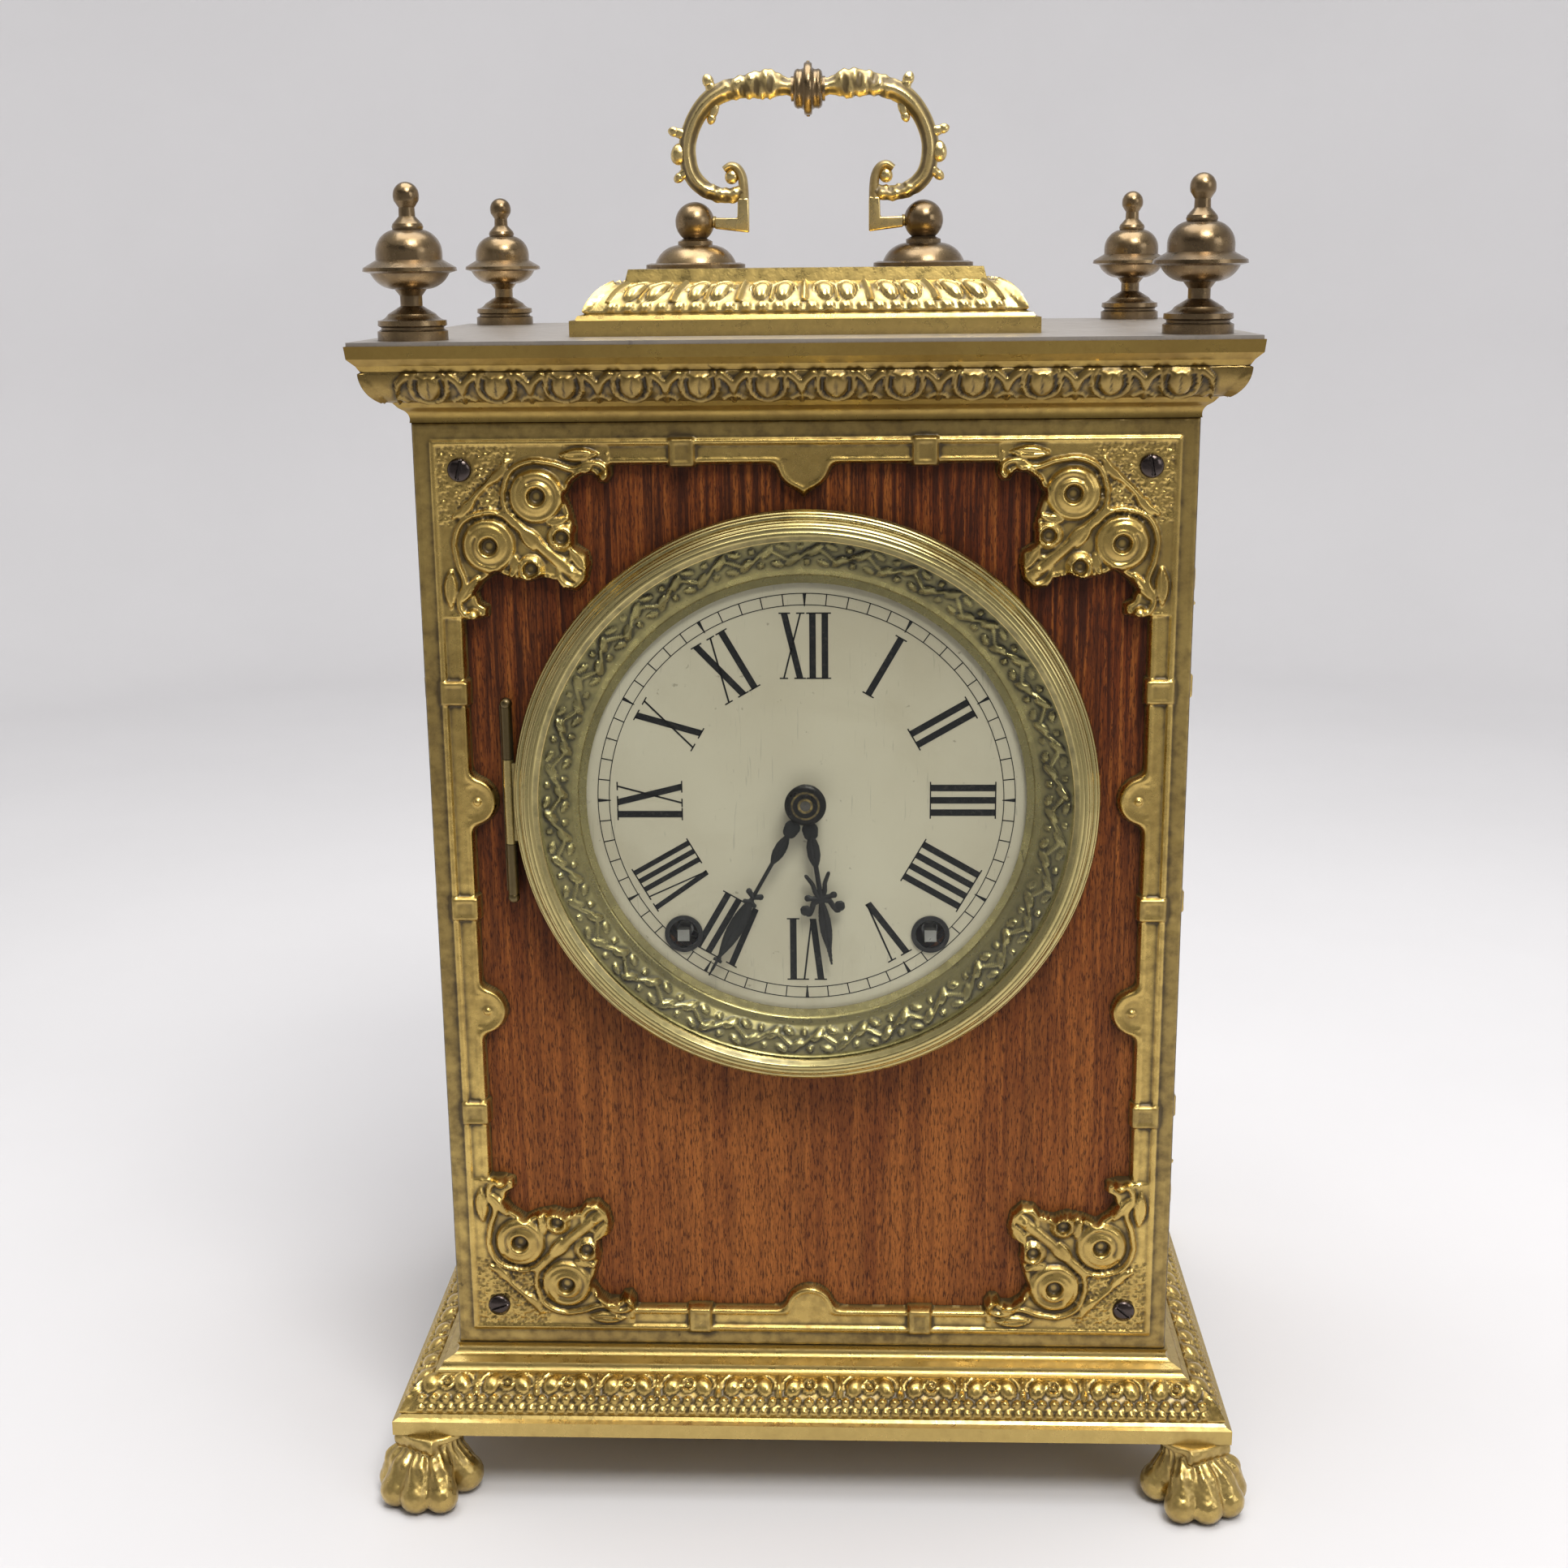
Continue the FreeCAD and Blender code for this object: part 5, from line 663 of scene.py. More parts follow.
def minute_shape(u, v):
    """Long hand: hub, collar, leaf, thin stem, crossbar, spear and tip."""
    strokes = (([(0.0, 4.0), (0.0, 12.0)], 1.2, 0.7), ([(0.0, 20.0), (0.0, 33.5)], 0.6, 0.55),
               ([(0.0, 8.2), (0.0, 9.4)], 2.3, 2.1), ([(0.0, 33.0), (2.0, 31.8)], 0.55, 0.8),
               ([(0.0, 34.4), (1.6, 35.2)], 0.5, 0.6), ([(0.0, 50.0), (0.0, 61.0)], 0.75, 0.22),
               ([(0.0, 55.4), (0.9, 55.8)], 0.45, 0.45))
    return hand_form(u, v, 5.0, strokes, ((11.0, 21.5, 1.75), (33.6, 55.0, 2.3)))


def hour_shape(u, v):
    """Short hand: hub, collar, leaf, stem, open fork, crossbar, two curls with ball ends and a blade."""
    fork = smooth_line([(0.6, 29.5), (1.5, 27.5), (1.9, 25.4), (3.4, 22.6)], 4)
    curl = smooth_line([(0.8, 30.8), (2.4, 31.2), (3.3, 33.2), (4.4, 34.6), (5.3, 33.6)], 4)
    strokes = (([(0.0, 4.0), (0.0, 11.0)], 1.4, 0.8), ([(0.0, 19.0), (0.0, 31.0)], 0.7, 0.7),
               ([(0.0, 8.4), (0.0, 9.6)], 2.3, 2.1), (fork, 0.75, 0.45),
               ([(0.0, 30.2), (3.6, 29.6)], 0.75, 0.6), (curl, 0.8, 0.6),
               ([(0.0, 46.0), (0.0, 51.0)], 0.7, 0.22))
    return hand_form(u, v, 5.6, strokes, ((10.0, 21.0, 1.9), (30.5, 48.0, 1.7)),
                     ((5.2, 33.2, 1.55), (3.9, 29.5, 0.95)))


def hand(name, shape, length, hole, back_y, degrees, body, replaced, material):
    """Pierced hand with rounded faces, closed behind and turned clockwise from twelve."""
    u, v = np.meshgrid(np.arange(-7.2, 7.21, HAND_STEP), np.arange(-6.0, length + 0.6, HAND_STEP),
                       indexing="ij")
    form = shape(u, v)
    form = np.where(np.hypot(u, v) < hole, 0, form)
    kept = (form[:-1, :-1] > 0) | (form[1:, :-1] > 0) | (form[:-1, 1:] > 0) | (form[1:, 1:] > 0)
    kept &= np.hypot(u, v)[:-1, :-1] > hole
    thick = 0.28 + 0.5 * np.clip(form, 0, 1)
    turn = math.radians(degrees)
    x = u * math.cos(turn) + v * math.sin(turn)
    z = DIAL_Z - u * math.sin(turn) + v * math.cos(turn)
    front = np.stack([x, back_y - thick, z], axis=-1)
    back = np.stack([x, np.full(x.shape, back_y), z], axis=-1)
    obj = closed_sheet(name, front, back, np.zeros(x.shape), kept)
    return finish_piece(obj, body, "black_metal", material, replaced)


# ---------------------------------------------------------------------------------------------
# dial marks
# ---------------------------------------------------------------------------------------------
MARK_TOP = 0.07
MARK_ROOT = -0.05
FOOT, HEAD = 37.2, 56.6
THICK, THIN = 1.0, 0.27
NUMERAL_WIDTH = 15.5


def slabs(name, polygons, material):
    """Thin closed slabs on the dial from polygons, x to the right and z up from its middle."""
    points = []
    faces = []
    for polygon in polygons:
        count = len(polygon)
        start = len(points)
        for lift in (MARK_ROOT, MARK_TOP):
            points += [(x, DIAL_FACE - lift, DIAL_Z + z) for x, z in polygon]
        faces.append([start + k for k in range(count)][::-1])
        faces.append([start + count + k for k in range(count)])
        faces += [[start + k, start + (k + 1) % count, start + count + (k + 1) % count, start + count + k]
                  for k in range(count)]
    obj = reworked(make_mesh(name, points, faces, None, 30.0))
    return finish_piece(obj, "case", "black_metal", material)


def annulus(inner, outer, count=180):
    """Ring as quads."""
    quads = []
    for index in range(count):
        a = 2 * math.pi * index / count
        b = 2 * math.pi * (index + 1) / count
        quads.append([(inner * math.sin(a), inner * math.cos(a)), (outer * math.sin(a), outer * math.cos(a)),
                      (outer * math.sin(b), outer * math.cos(b)), (inner * math.sin(b), inner * math.cos(b))])
    return quads


def spoke(minute, inner, outer, inner_half, outer_half):
    """Radial mark that may taper."""
    angle = math.radians(minute * 6)
    out = (math.sin(angle), math.cos(angle))
    side = (math.cos(angle), -math.sin(angle))
    spots = ((inner, -inner_half), (outer, -outer_half), (outer, outer_half), (inner, inner_half))
    return [(out[0] * r + side[0] * w, out[1] * r + side[1] * w) for r, w in spots]


def bar_between(low, high, half):
    """Bar of a letter from its foot to its head, as (sideways, radius)."""
    return [(low - half, FOOT), (low + half, FOOT), (high + half, HEAD), (high - half, HEAD)]


def serif(middle, radius, half):
    """Thin bar across the end of a letter."""
    return [(middle - half, radius - 0.2), (middle + half, radius - 0.2), (middle + half, radius + 0.2),
            (middle - half, radius + 0.2)]


def letter_shapes(letter, at):
    """Polygons of one numeral letter, as (sideways, radius), and its width."""
    if letter == "I":
        return [bar_between(at + 1.9, at + 1.9, THICK), serif(at + 1.9, FOOT, 1.9),
                serif(at + 1.9, HEAD, 1.9)], 3.8
    if letter == "V":
        return [bar_between(at + 4.2, at + 1.8, THICK), bar_between(at + 4.6, at + 6.9, THIN),
                serif(at + 1.9, HEAD, 1.9), serif(at + 6.9, HEAD, 1.4)], 8.3
    return [bar_between(at + 6.6, at + 1.8, THICK), bar_between(at + 1.6, at + 6.8, THIN),
            serif(at + 1.9, HEAD, 1.8), serif(at + 6.8, HEAD, 1.3), serif(at + 1.6, FOOT, 1.3),
            serif(at + 6.6, FOOT, 1.8)], 8.6


def numeral(text, hour):
    """Polygons of one numeral, feet to the middle, squeezed where it is wide."""
    shapes = []
    at = 0.0
    for letter in text:
        found, wide = letter_shapes(letter, at)
        shapes += found
        at += wide
    squeeze = min(1.0, NUMERAL_WIDTH / at)
    angle = math.radians(hour * 30)
    placed = []
    for shape in shapes:
        placed.append([(math.cos(angle) * (u - at / 2) * squeeze + math.sin(angle) * r,
                        -math.sin(angle) * (u - at / 2) * squeeze + math.cos(angle) * r) for u, r in shape])
    return placed


def dial_marks(material):
    """Roman numerals and the minute track."""
    polygons = []
    for hour, text in enumerate(("XII", "I", "II", "III", "IIII", "V", "VI", "VII", "VIII", "IX", "X", "XI")):
        polygons += numeral(text, hour)
    slabs("dial_numerals", polygons, material)
    track = annulus(58.95, 59.2) + annulus(62.35, 62.6)
    for minute in range(60):
        inner, inner_half, outer_half = (59.1, 0.16, 0.16) if minute % 5 else (58.6, 0.12, 0.55)
        track.append(spoke(minute, inner, 62.4, inner_half, outer_half))
    slabs("dial_minute_track", track, material)


# ---------------------------------------------------------------------------------------------
# handle
# ---------------------------------------------------------------------------------------------
def tube(name, spine, radii, relief=None, around=36):
    """Closed tube along a spine in the XZ plane; radii are (across, deep), relief(length, angle) is added."""
    spine = np.array(spine)
    across = normals_of(spine)
    lengths = run_of(spine)
    points = []
    shade_and_dirt = []
    for index, (wide, deep) in enumerate(radii):
        for step in range(around):
            angle = 2 * math.pi * step / around
            lift = relief(lengths[index], angle) if relief else 0.0
            out = (wide + lift) * math.cos(angle)
            points.append((spine[index][0] + across[index][0] * out, (deep + lift) * math.sin(angle),
                           spine[index][1] + across[index][1] * out))
            # dirt and painted shade: darker where the relief is low
            shade_and_dirt.append(max(0.0, min(1.0, 0.55 - lift * 2.2)))
    last = (len(spine) - 1) * around
    faces = ring_faces(len(spine) - 1, around)
    faces += [list(range(around))[::-1], [last + step for step in range(around)]]
    return make_mesh(name, points, faces, shade_and_dirt, 60.0)


def bud(name, x, z, radius, tip_angle, stretch=1.35):
    """Small pointed bud whose tip looks along tip_angle in the XZ plane."""
    rings = 10
    around = 14
    points = []
    for index in range(rings + 1):
        share = index / rings
        angle = math.pi * share
        girth = math.sin(angle) * (1 - 0.35 * share)
        for step in range(around):
            turn = 2 * math.pi * step / around
            fat = radius * girth * (1 + 0.10 * math.cos(3 * turn))
            points.append((-radius * stretch * math.cos(angle), fat * math.cos(turn), fat * math.sin(turn)))
    lean = math.radians(tip_angle)
    placed = [(x + px * math.cos(lean) - pz * math.sin(lean), py, z + px * math.sin(lean) + pz * math.cos(lean))
              for px, py, pz in points]
    return make_mesh(name, placed, ring_faces(rings, around), [0.1] * len(placed), 60.0)


def prism(name, outline, half_deep, bevel):
    """Bevelled prism from an outline in the XZ plane."""
    points = [(x, -half_deep, z) for x, z in outline] + [(x, half_deep, z) for x, z in outline]
    count = len(outline)
    faces = [list(range(count)), [count + k for k in range(count)][::-1]]
    faces += [[(k + 1) % count, k, count + k, count + (k + 1) % count] for k in range(count)]
    return reworked(make_mesh(name, points, faces, [0.1] * len(points), 60.0), bevel)


BAIL_LINE = [(4.4, 434.6), (7.0, 434.9), (11.6, 435.5), (16.0, 435.5), (22.0, 434.8), (28.0, 432.9), (32.6, 429.4),
             (36.0, 424.4), (38.0, 418.4), (37.9, 412.6), (36.4, 408.0), (33.0, 404.6), (28.6, 402.8),
             (24.6, 402.5), (20.6, 403.2)]
BAIL_GIRTH = [(0, 2.9), (2.0, 2.3), (4.2, 3.0), (7.2, 4.5), (11.0, 4.2), (17.0, 3.4), (23.0, 3.0), (34.0, 2.6),
              (44.0, 2.5), (54.0, 2.5), (64.0, 2.3), (90.0, 2.1)]
BAIL_KNOBS = [(31.3, 436.9, 2.1, 29.6, 433.0, 2.0), (30.4, 425.4, 1.7, 28.8, 430.0, 1.7),
              (42.4, 421.8, 1.8, 38.2, 420.6, 1.9), (41.0, 407.8, 1.8, 37.6, 410.4, 1.9)]
BAIL_CROOK = [(20.7, 399.0), (20.6, 404.0), (21.0, 408.0), (22.4, 410.6), (24.6, 411.4), (26.7, 410.2)]
BAIL_LEG = [(18.9, 390.9), (29.9, 392.2), (29.9, 395.6), (22.6, 395.4), (22.4, 401.5), (18.9, 401.5)]


def bail_relief(length, angle):
    """Leaves engraved on the swelling next to the knop and low on the scroll, a soft ridge between."""
    leafage = min(max(length - 3.5, 0) / 3, max(24.0 - length, 0) / 6, 1)
    leafage += 0.6 * min(max(length - 56.0, 0) / 4, 1)
    along = 2 * math.pi * length
    lobe = math.cos(along / 7.4 + 2 * angle) * math.cos(along / 9.6 - angle)
    vein = math.cos(along / 2.4 - 2 * angle)
    return leafage * (0.50 * lobe + 0.14 * vein) + 0.24 * math.cos(4 * angle) * (1 - min(leafage, 1))


def knob(x, z, radius, root_x, root_z, neck):
    """Round bud on a short neck that grows out of the bail."""
    away = math.degrees(math.atan2(z - root_z, x - root_x))
    reach = math.hypot(z - root_z, x - root_x)
    middle = ((x + root_x) / 2, (z + root_z) / 2)
    return [bud("bail_bud", x, z, radius, away, 1.0),
            bud("bail_bud_neck", *middle, neck, away, reach / 2 / neck * 1.3)]


def handle(material):
    """Two C scrolls with leaves, buds, volutes and legs, in one casting."""
    pieces = []
    crook = smooth_line(BAIL_CROOK, 8)
    crook_radii = [(1.75 - 0.75 * k / len(crook), 2.2) for k in range(len(crook))]
    for side in (-1, 1):
        spine = [(side * x, z) for x, z in smooth_line(BAIL_LINE, 9)]
        girth = np.interp(run_of(spine), *zip(*BAIL_GIRTH))
        pieces.append(tube("bail_scroll", spine, [(wide, 0.55 * wide + 1.1) for wide in girth], bail_relief))
        for x, z, radius, root_x, root_z, neck in BAIL_KNOBS:
            pieces += knob(side * x, z, radius, side * root_x, root_z, neck)
        pieces.append(bud("bail_shell", side * 40.9, 415.0, 2.9, 88, 1.15))
        pieces.append(tube("bail_crook", [(side * x, z) for x, z in crook], crook_radii, around=28))
        pieces.append(bud("bail_volute", side * 24.3, 408.2, 2.5, 90, 1.0))
        pieces.append(prism("bail_leg", [(side * x, z) for x, z in BAIL_LEG], 2.2, 0.6))
        pin = [(side * (29.4 + step), BALL_Z) for step in range(7)]
        pieces.append(tube("bail_pin", pin, [(1.8, 1.8)] * 7, around=20))
    obj = joined("handle_bail_cast", pieces)
    return finish_piece(obj, "handle", "bronze", material, "handle_bail")


# ---------------------------------------------------------------------------------------------
# feet
# ---------------------------------------------------------------------------------------------
FOOT_X = 120.5
FOOT_Y = 90.25
FOOT_TOP = 22.4
VOXEL = 0.00055


def evaluated(obj):
    """Mesh of an object with its modifiers applied."""
    graph = bpy.context.evaluated_depsgraph_get()
    graph.update()
    return bpy.data.meshes.new_from_object(obj.evaluated_get(graph))


def point_values(mesh, name):
    """Array with one value of three numbers per point of a mesh."""
    values = np.empty(len(mesh.vertices) * 3)
    mesh.vertices.foreach_get(name, values)
    return values.reshape(-1, 3)


def paw(node, side, end, material):
    """Cast paw: the toes blended into one another, with claws, hair grooves and a worn skin."""
    copy = bpy.data.objects.new(node + "_work", NODES[node].data.copy())
    bpy.context.scene.collection.objects.link(copy)
    remesh = copy.modifiers.new("remesh", "REMESH")
    remesh.mode = "VOXEL"
    remesh.voxel_size = VOXEL
    smooth = copy.modifiers.new("smooth", "SMOOTH")
    smooth.factor = 0.5
    smooth.iterations = 5
    mesh = evaluated(copy)
    bpy.data.objects.remove(copy)
    points = point_values(mesh, "co") / MM
    normals = point_values(mesh, "normal")
    faces = np.array([tuple(poly.vertices) for poly in mesh.polygons])
    bpy.data.meshes.remove(mesh)
    x, y, high = points.T
    angle = np.arctan2(y - FOOT_Y * end, x - FOOT_X * side)
    hair = (np.sin(angle * 26 + high * 0.5) * np.clip((high - 9.5) / 4, 0, 1)
            * np.clip((19.5 - high) / 1.5, 0, 1))
    skin = np.sin(x * 2.1) * np.sin(y * 2.3 + 1) * np.sin(high * 1.9)
    lift = (0.22 * hair + 0.10 * skin) * np.clip((high - 0.4) / 1.0, 0, 1) * (high < 21.6)
    shade_and_dirt = np.clip(0.28 - hair * 0.25 + np.clip(3.0 - high, 0, 3) * 0.14, 0, 1)
    points = points + normals * lift[:, None]
    points[:, 2] = np.clip(points[:, 2], 0.0, FOOT_TOP)
    obj = make_mesh(node + "_cast", points, faces, shade_and_dirt, 60.0)
    return finish_piece(obj, "case", "gilt_brass", material, node)


# ---------------------------------------------------------------------------------------------
# materials
# ---------------------------------------------------------------------------------------------
class Nodes:
    """Small helper that adds and links shader nodes."""

    def __init__(self, name):
        self.material = bpy.data.materials.new(name)
        self.material.use_nodes = True
        self.tree = self.material.node_tree
        self.shader = self.tree.nodes["Principled BSDF"]
        self.coords = self.new("TexCoord").outputs["Object"]

    def new(self, kind):
        return self.tree.nodes.new("ShaderNode" + kind)

    def link(self, source, target):
        self.tree.links.new(source, target)

    def put(self, value, socket):
        """Links an output to a socket, or sets the number or colour on it."""
        if isinstance(value, bpy.types.NodeSocket):
            self.link(value, socket)
        else:
            socket.default_value = (*value, 1.0) if isinstance(value, tuple) else value

    def surface(self, name, value):
        self.put(value, self.shader.inputs[name])

    def place(self):
        """Outputs X, Y and Z of the place in the scene, in metres."""
        node = self.new("SeparateXYZ")
        self.link(self.coords, node.inputs["Vector"])
        return node.outputs

    def stretched(self, x, y, z):
        """Coordinates with a scale of their own along each axis."""
        node = self.new("Mapping")
        node.inputs["Scale"].default_value = (x, y, z)
        self.link(self.coords, node.inputs["Vector"])
        return node.outputs["Vector"]

    def noise(self, scale, detail=3.0, rough=0.55, vector=None, warp=0.0):
        """Noise of about 0 to 1."""
        node = self.new("TexNoise")
        node.inputs["Scale"].default_value = scale
        node.inputs["Detail"].default_value = detail
        node.inputs["Roughness"].default_value = rough
        node.inputs["Distortion"].default_value = warp
        self.link(vector or self.coords, node.inputs["Vector"])
        return node.outputs["Fac"]

    def ramp(self, source, low, high, start=0.0, stop=1.0):
        """Maps source from low..high to start..stop, clamped."""
        node = self.new("MapRange")
        node.inputs["From Min"].default_value = low
        node.inputs["From Max"].default_value = high
        node.inputs["To Min"].default_value = start
        node.inputs["To Max"].default_value = stop
        self.link(source, node.inputs["Value"])
        return node.outputs["Result"]

    def mix(self, factor, first, second):
        """Colour mix; first and second are colours or outputs."""
        node = self.new("Mix")
        node.data_type = "RGBA"
        self.link(factor, node.inputs["Factor"])
        self.put(first, node.inputs[6])
        self.put(second, node.inputs[7])
        return node.outputs[2]

    def math(self, kind, first, second=0.0):
        """Sum of two numbers or outputs, as the math node of that kind has it."""
        node = self.new("Math")
        node.operation = kind
        self.put(first, node.inputs[0])
        self.put(second, node.inputs[1])
        return node.outputs[0]

    def times(self, first, second):
        return self.math("MULTIPLY", first, second)

    def plus(self, first, second):
        return self.math("ADD", first, second)

    def recess_dirt_and_shade(self, own=False):
        """Darkening of dirt and painted shade: a stored value on formed pieces, painted shade from ambient
        occlusion elsewhere.
        """
        if own:
            node = self.new("Attribute")
            node.attribute_name = "shade_and_dirt"
            return node.outputs["Fac"]
        node = self.new("AmbientOcclusion")
        node.samples = 4
        node.inputs["Distance"].default_value = 0.005
        return self.ramp(node.outputs["AO"], 0.35, 0.85, 0.85, 0.0)

    def bump(self, height, strength, distance):
        """Fine relief of the surface, distance in metres."""
        node = self.new("Bump")
        node.inputs["Strength"].default_value = strength
        node.inputs["Distance"].default_value = distance
        self.link(height, node.inputs["Height"])
        self.surface("Normal", node.outputs["Normal"])


def metal(name, light, tarnish, dirt_and_shade_colour, rough, own=False, metallic=1.0, wear=0.5, grain=0.25, spots=0.6,
          coat=0.4):
    """Worn metal: broad tarnish, dirt and painted shade in the recesses, dark specks, uneven polish and a fine
    grain.
    """
    m = Nodes(name)
    broad = m.ramp(m.noise(22.0, 4.0, 0.6, None, 0.4), 0.35, 0.68)
    small = m.noise(240.0, 4.0, 0.6)
    fine = m.noise(1500.0, 2.0)
    colour = m.mix(m.times(broad, wear), light, tarnish)
    colour = m.mix(m.times(m.ramp(small, 0.45, 0.75), 0.45), colour, tarnish)
    recess_dirt_and_shade = m.recess_dirt_and_shade(own)
    deep = m.ramp(m.plus(recess_dirt_and_shade, m.times(m.ramp(small, 0.3, 0.7, -0.5, 0.5), 0.25)), 0.10, 0.9)
    # dirt and painted shade: recesses and the faces marked in the stored value turn towards the darkest colour
    colour = m.mix(m.times(deep, 0.88), colour, dirt_and_shade_colour)
    speck = m.ramp(m.noise(130.0, 5.0, 0.7, None, 0.8), 0.66, 0.72, 0.0, spots)
    colour = m.mix(speck, colour, dirt_and_shade_colour)
    m.surface("Base Color", colour)
    uneven = m.ramp(small, 0.3, 0.7, rough - 0.08, rough + 0.10)
    m.surface("Roughness", m.plus(uneven, m.times(deep, 0.28)))
    m.surface("Metallic", m.math("SUBTRACT", metallic, m.times(deep, 0.35)))
    m.surface("Coat Weight", coat)
    m.surface("Coat Roughness", 0.22)
    m.bump(m.plus(m.times(small, 0.7), m.times(fine, 0.3)), grain, 0.0004)
    return m.material


def oak(name, light, dark, pore):
    """Varnished oak: upright pores, slow bands, painted light that makes it lighter low down and darker towards
    the top, and a gloss that follows the pores.
    """
    m = Nodes(name)
    broad = m.ramp(m.noise(9.0, 3.0, 0.6, None, 0.6), 0.35, 0.65)
    bands = m.noise(1.0, 3.0, 0.6, m.stretched(150.0, 150.0, 9.0), 0.8)
    pores = m.noise(1.0, 2.0, 0.7, m.stretched(1900.0, 1900.0, 300.0), 0.3)
    marks = m.ramp(pores, 0.50, 0.64)
    fine = m.noise(1.0, 2.0, 0.5, m.stretched(3400.0, 3400.0, 420.0))
    # painted light: the oak is lighter low down and darker towards the top
    height = m.ramp(m.place()["Z"], 0.075, 0.29)
    painted_light_and_tone = m.plus(m.times(height, 0.62), m.times(broad, 0.38))
    colour = m.mix(painted_light_and_tone, light, dark)
    streaks = m.noise(1.0, 3.0, 0.65, m.stretched(520.0, 520.0, 16.0), 0.4)
    colour = m.mix(m.times(m.ramp(bands, 0.4, 0.62), 0.5), colour, dark)
    strong = m.ramp(height, 0.25, 0.9, 0.25, 0.85)
    colour = m.mix(m.times(m.ramp(streaks, 0.47, 0.60), strong), colour, pore)
    colour = m.mix(m.times(m.ramp(streaks, 0.47, 0.38), 0.55), colour, light)
    colour = m.mix(m.times(marks, 0.80), colour, pore)
    colour = m.mix(m.times(m.ramp(fine, 0.5, 0.68), 0.35), colour, pore)
    # painted shade in the recesses, in the pore colour
    colour = m.mix(m.times(m.recess_dirt_and_shade(), 0.55), colour, pore)
    m.surface("Base Color", colour)
    m.surface("Roughness", m.ramp(pores, 0.4, 0.65, 0.42, 0.62))
    m.surface("Specular IOR Level", 0.16)
    m.surface("Coat Weight", 0.04)
    m.surface("Coat Roughness", 0.25)
    m.bump(m.math("SUBTRACT", 1.0, marks), 0.35, 0.0002)
    return m.material


def silvered(name):
    """Silvered dial: warm grey, faint ring brushing, stains low on the left, scratches and specks."""
    m = Nodes(name)
    stain = m.ramp(m.noise(26.0, 5.0, 0.6, None, 1.0), 0.50, 0.72)
    scratch = m.noise(1.0, 2.0, 0.6, m.stretched(900.0, 1.0, 60.0), 1.5)
    small = m.noise(420.0, 3.0)
    place = m.place()
    low_left = m.plus(m.ramp(place["X"], -0.075, -0.005, 0.5, 0.0), m.ramp(place["Z"], 0.150, 0.215, 0.5, 0.0))
    stain = m.times(stain, m.ramp(low_left, 0.25, 0.75, 0.6, 2.2))
    colour = m.mix(m.ramp(m.noise(12.0, 3.0), 0.35, 0.65), (0.66, 0.595, 0.46), (0.56, 0.49, 0.365))
    colour = m.mix(m.times(stain, 0.35), colour, (0.42, 0.35, 0.23))
    colour = m.mix(m.ramp(scratch, 0.66, 0.72, 0.0, 0.35), colour, (0.30, 0.27, 0.21))
    colour = m.mix(m.ramp(small, 0.70, 0.76, 0.0, 0.5), colour, (0.16, 0.13, 0.09))
    m.surface("Base Color", colour)
    m.surface("Roughness", m.ramp(small, 0.3, 0.7, 0.36, 0.48))
    m.surface("Metallic", 0.08)
    m.bump(m.plus(small, m.times(scratch, 0.6)), 0.12, 0.0001)
    return m.material


def nut_metal(name):
    """Blackened nut with a brass screw in its middle and a thin brass ring worn bright."""
    m = Nodes(name)
    place = m.place()
    rise = m.math("SUBTRACT", place["Z"], DIAL_Z * MM)
    away = m.math("SQRT", m.plus(m.times(rise, rise), m.times(place["X"], place["X"])))
    screw = m.ramp(away, 0.0021, 0.0024, 1.0, 0.0)
    ring = m.times(m.ramp(away, 0.0036, 0.0038), m.ramp(away, 0.0042, 0.0044, 1.0, 0.0))
    worn = m.ramp(m.noise(700.0, 3.0), 0.40, 0.60, 0.35, 1.0)
    bright = m.times(m.plus(screw, m.times(ring, 0.6)), worn)
    m.surface("Base Color", m.mix(bright, (0.020, 0.018, 0.017), (0.42, 0.30, 0.11)))
    m.surface("Roughness", m.ramp(m.noise(300.0, 2.0), 0.3, 0.7, 0.24, 0.40))
    m.surface("Metallic", 0.8)
    m.bump(m.plus(m.noise(900.0, 2.0), m.times(bright, 2.0)), 0.25, 0.0002)
    return m.material


def enamel(name):
    """Black wax or paint: matt, slightly greyed where it is worn."""
    m = Nodes(name)
    worn = m.ramp(m.noise(900.0, 3.0), 0.55, 0.8)
    m.surface("Base Color", m.mix(worn, (0.010, 0.010, 0.011), (0.045, 0.040, 0.034)))
    m.surface("Roughness", m.ramp(m.noise(200.0, 2.0), 0.3, 0.7, 0.55, 0.75))
    m.surface("Specular IOR Level", 0.15)
    m.bump(m.noise(700.0, 2.0), 0.1, 0.00005)
    return m.material


def glass(name):
    """Thin clear pane: see-through with a sharp reflection and faint dust."""
    m = Nodes(name)
    m.tree.nodes.remove(m.shader)
    clear = m.new("BsdfTransparent")
    m.put((0.955, 0.97, 0.955), clear.inputs["Color"])
    gloss = m.new("BsdfGlossy")
    m.put((1.0, 1.0, 1.0), gloss.inputs["Color"])
    m.put(m.ramp(m.noise(60.0, 4.0), 0.45, 0.8, 0.01, 0.12), gloss.inputs["Roughness"])
    fresnel = m.new("Fresnel")
    fresnel.inputs["IOR"].default_value = 1.45
    seen = m.math("SUBTRACT", 1.0, m.new("LightPath").outputs["Is Shadow Ray"])
    mixer = m.new("MixShader")
    m.put(m.times(m.times(fresnel.outputs["Fac"], seen), 0.45), mixer.inputs["Fac"])
    m.link(clear.outputs["BSDF"], mixer.inputs[1])
    m.link(gloss.outputs["BSDF"], mixer.inputs[2])
    m.link(mixer.outputs["Shader"], m.tree.nodes["Material Output"].inputs["Surface"])
    return m.material


STAGE_PALE = (0.70, 0.69, 0.70)
STAGE_MARK = tuple(value * (1 - 0.04) for value in STAGE_PALE)
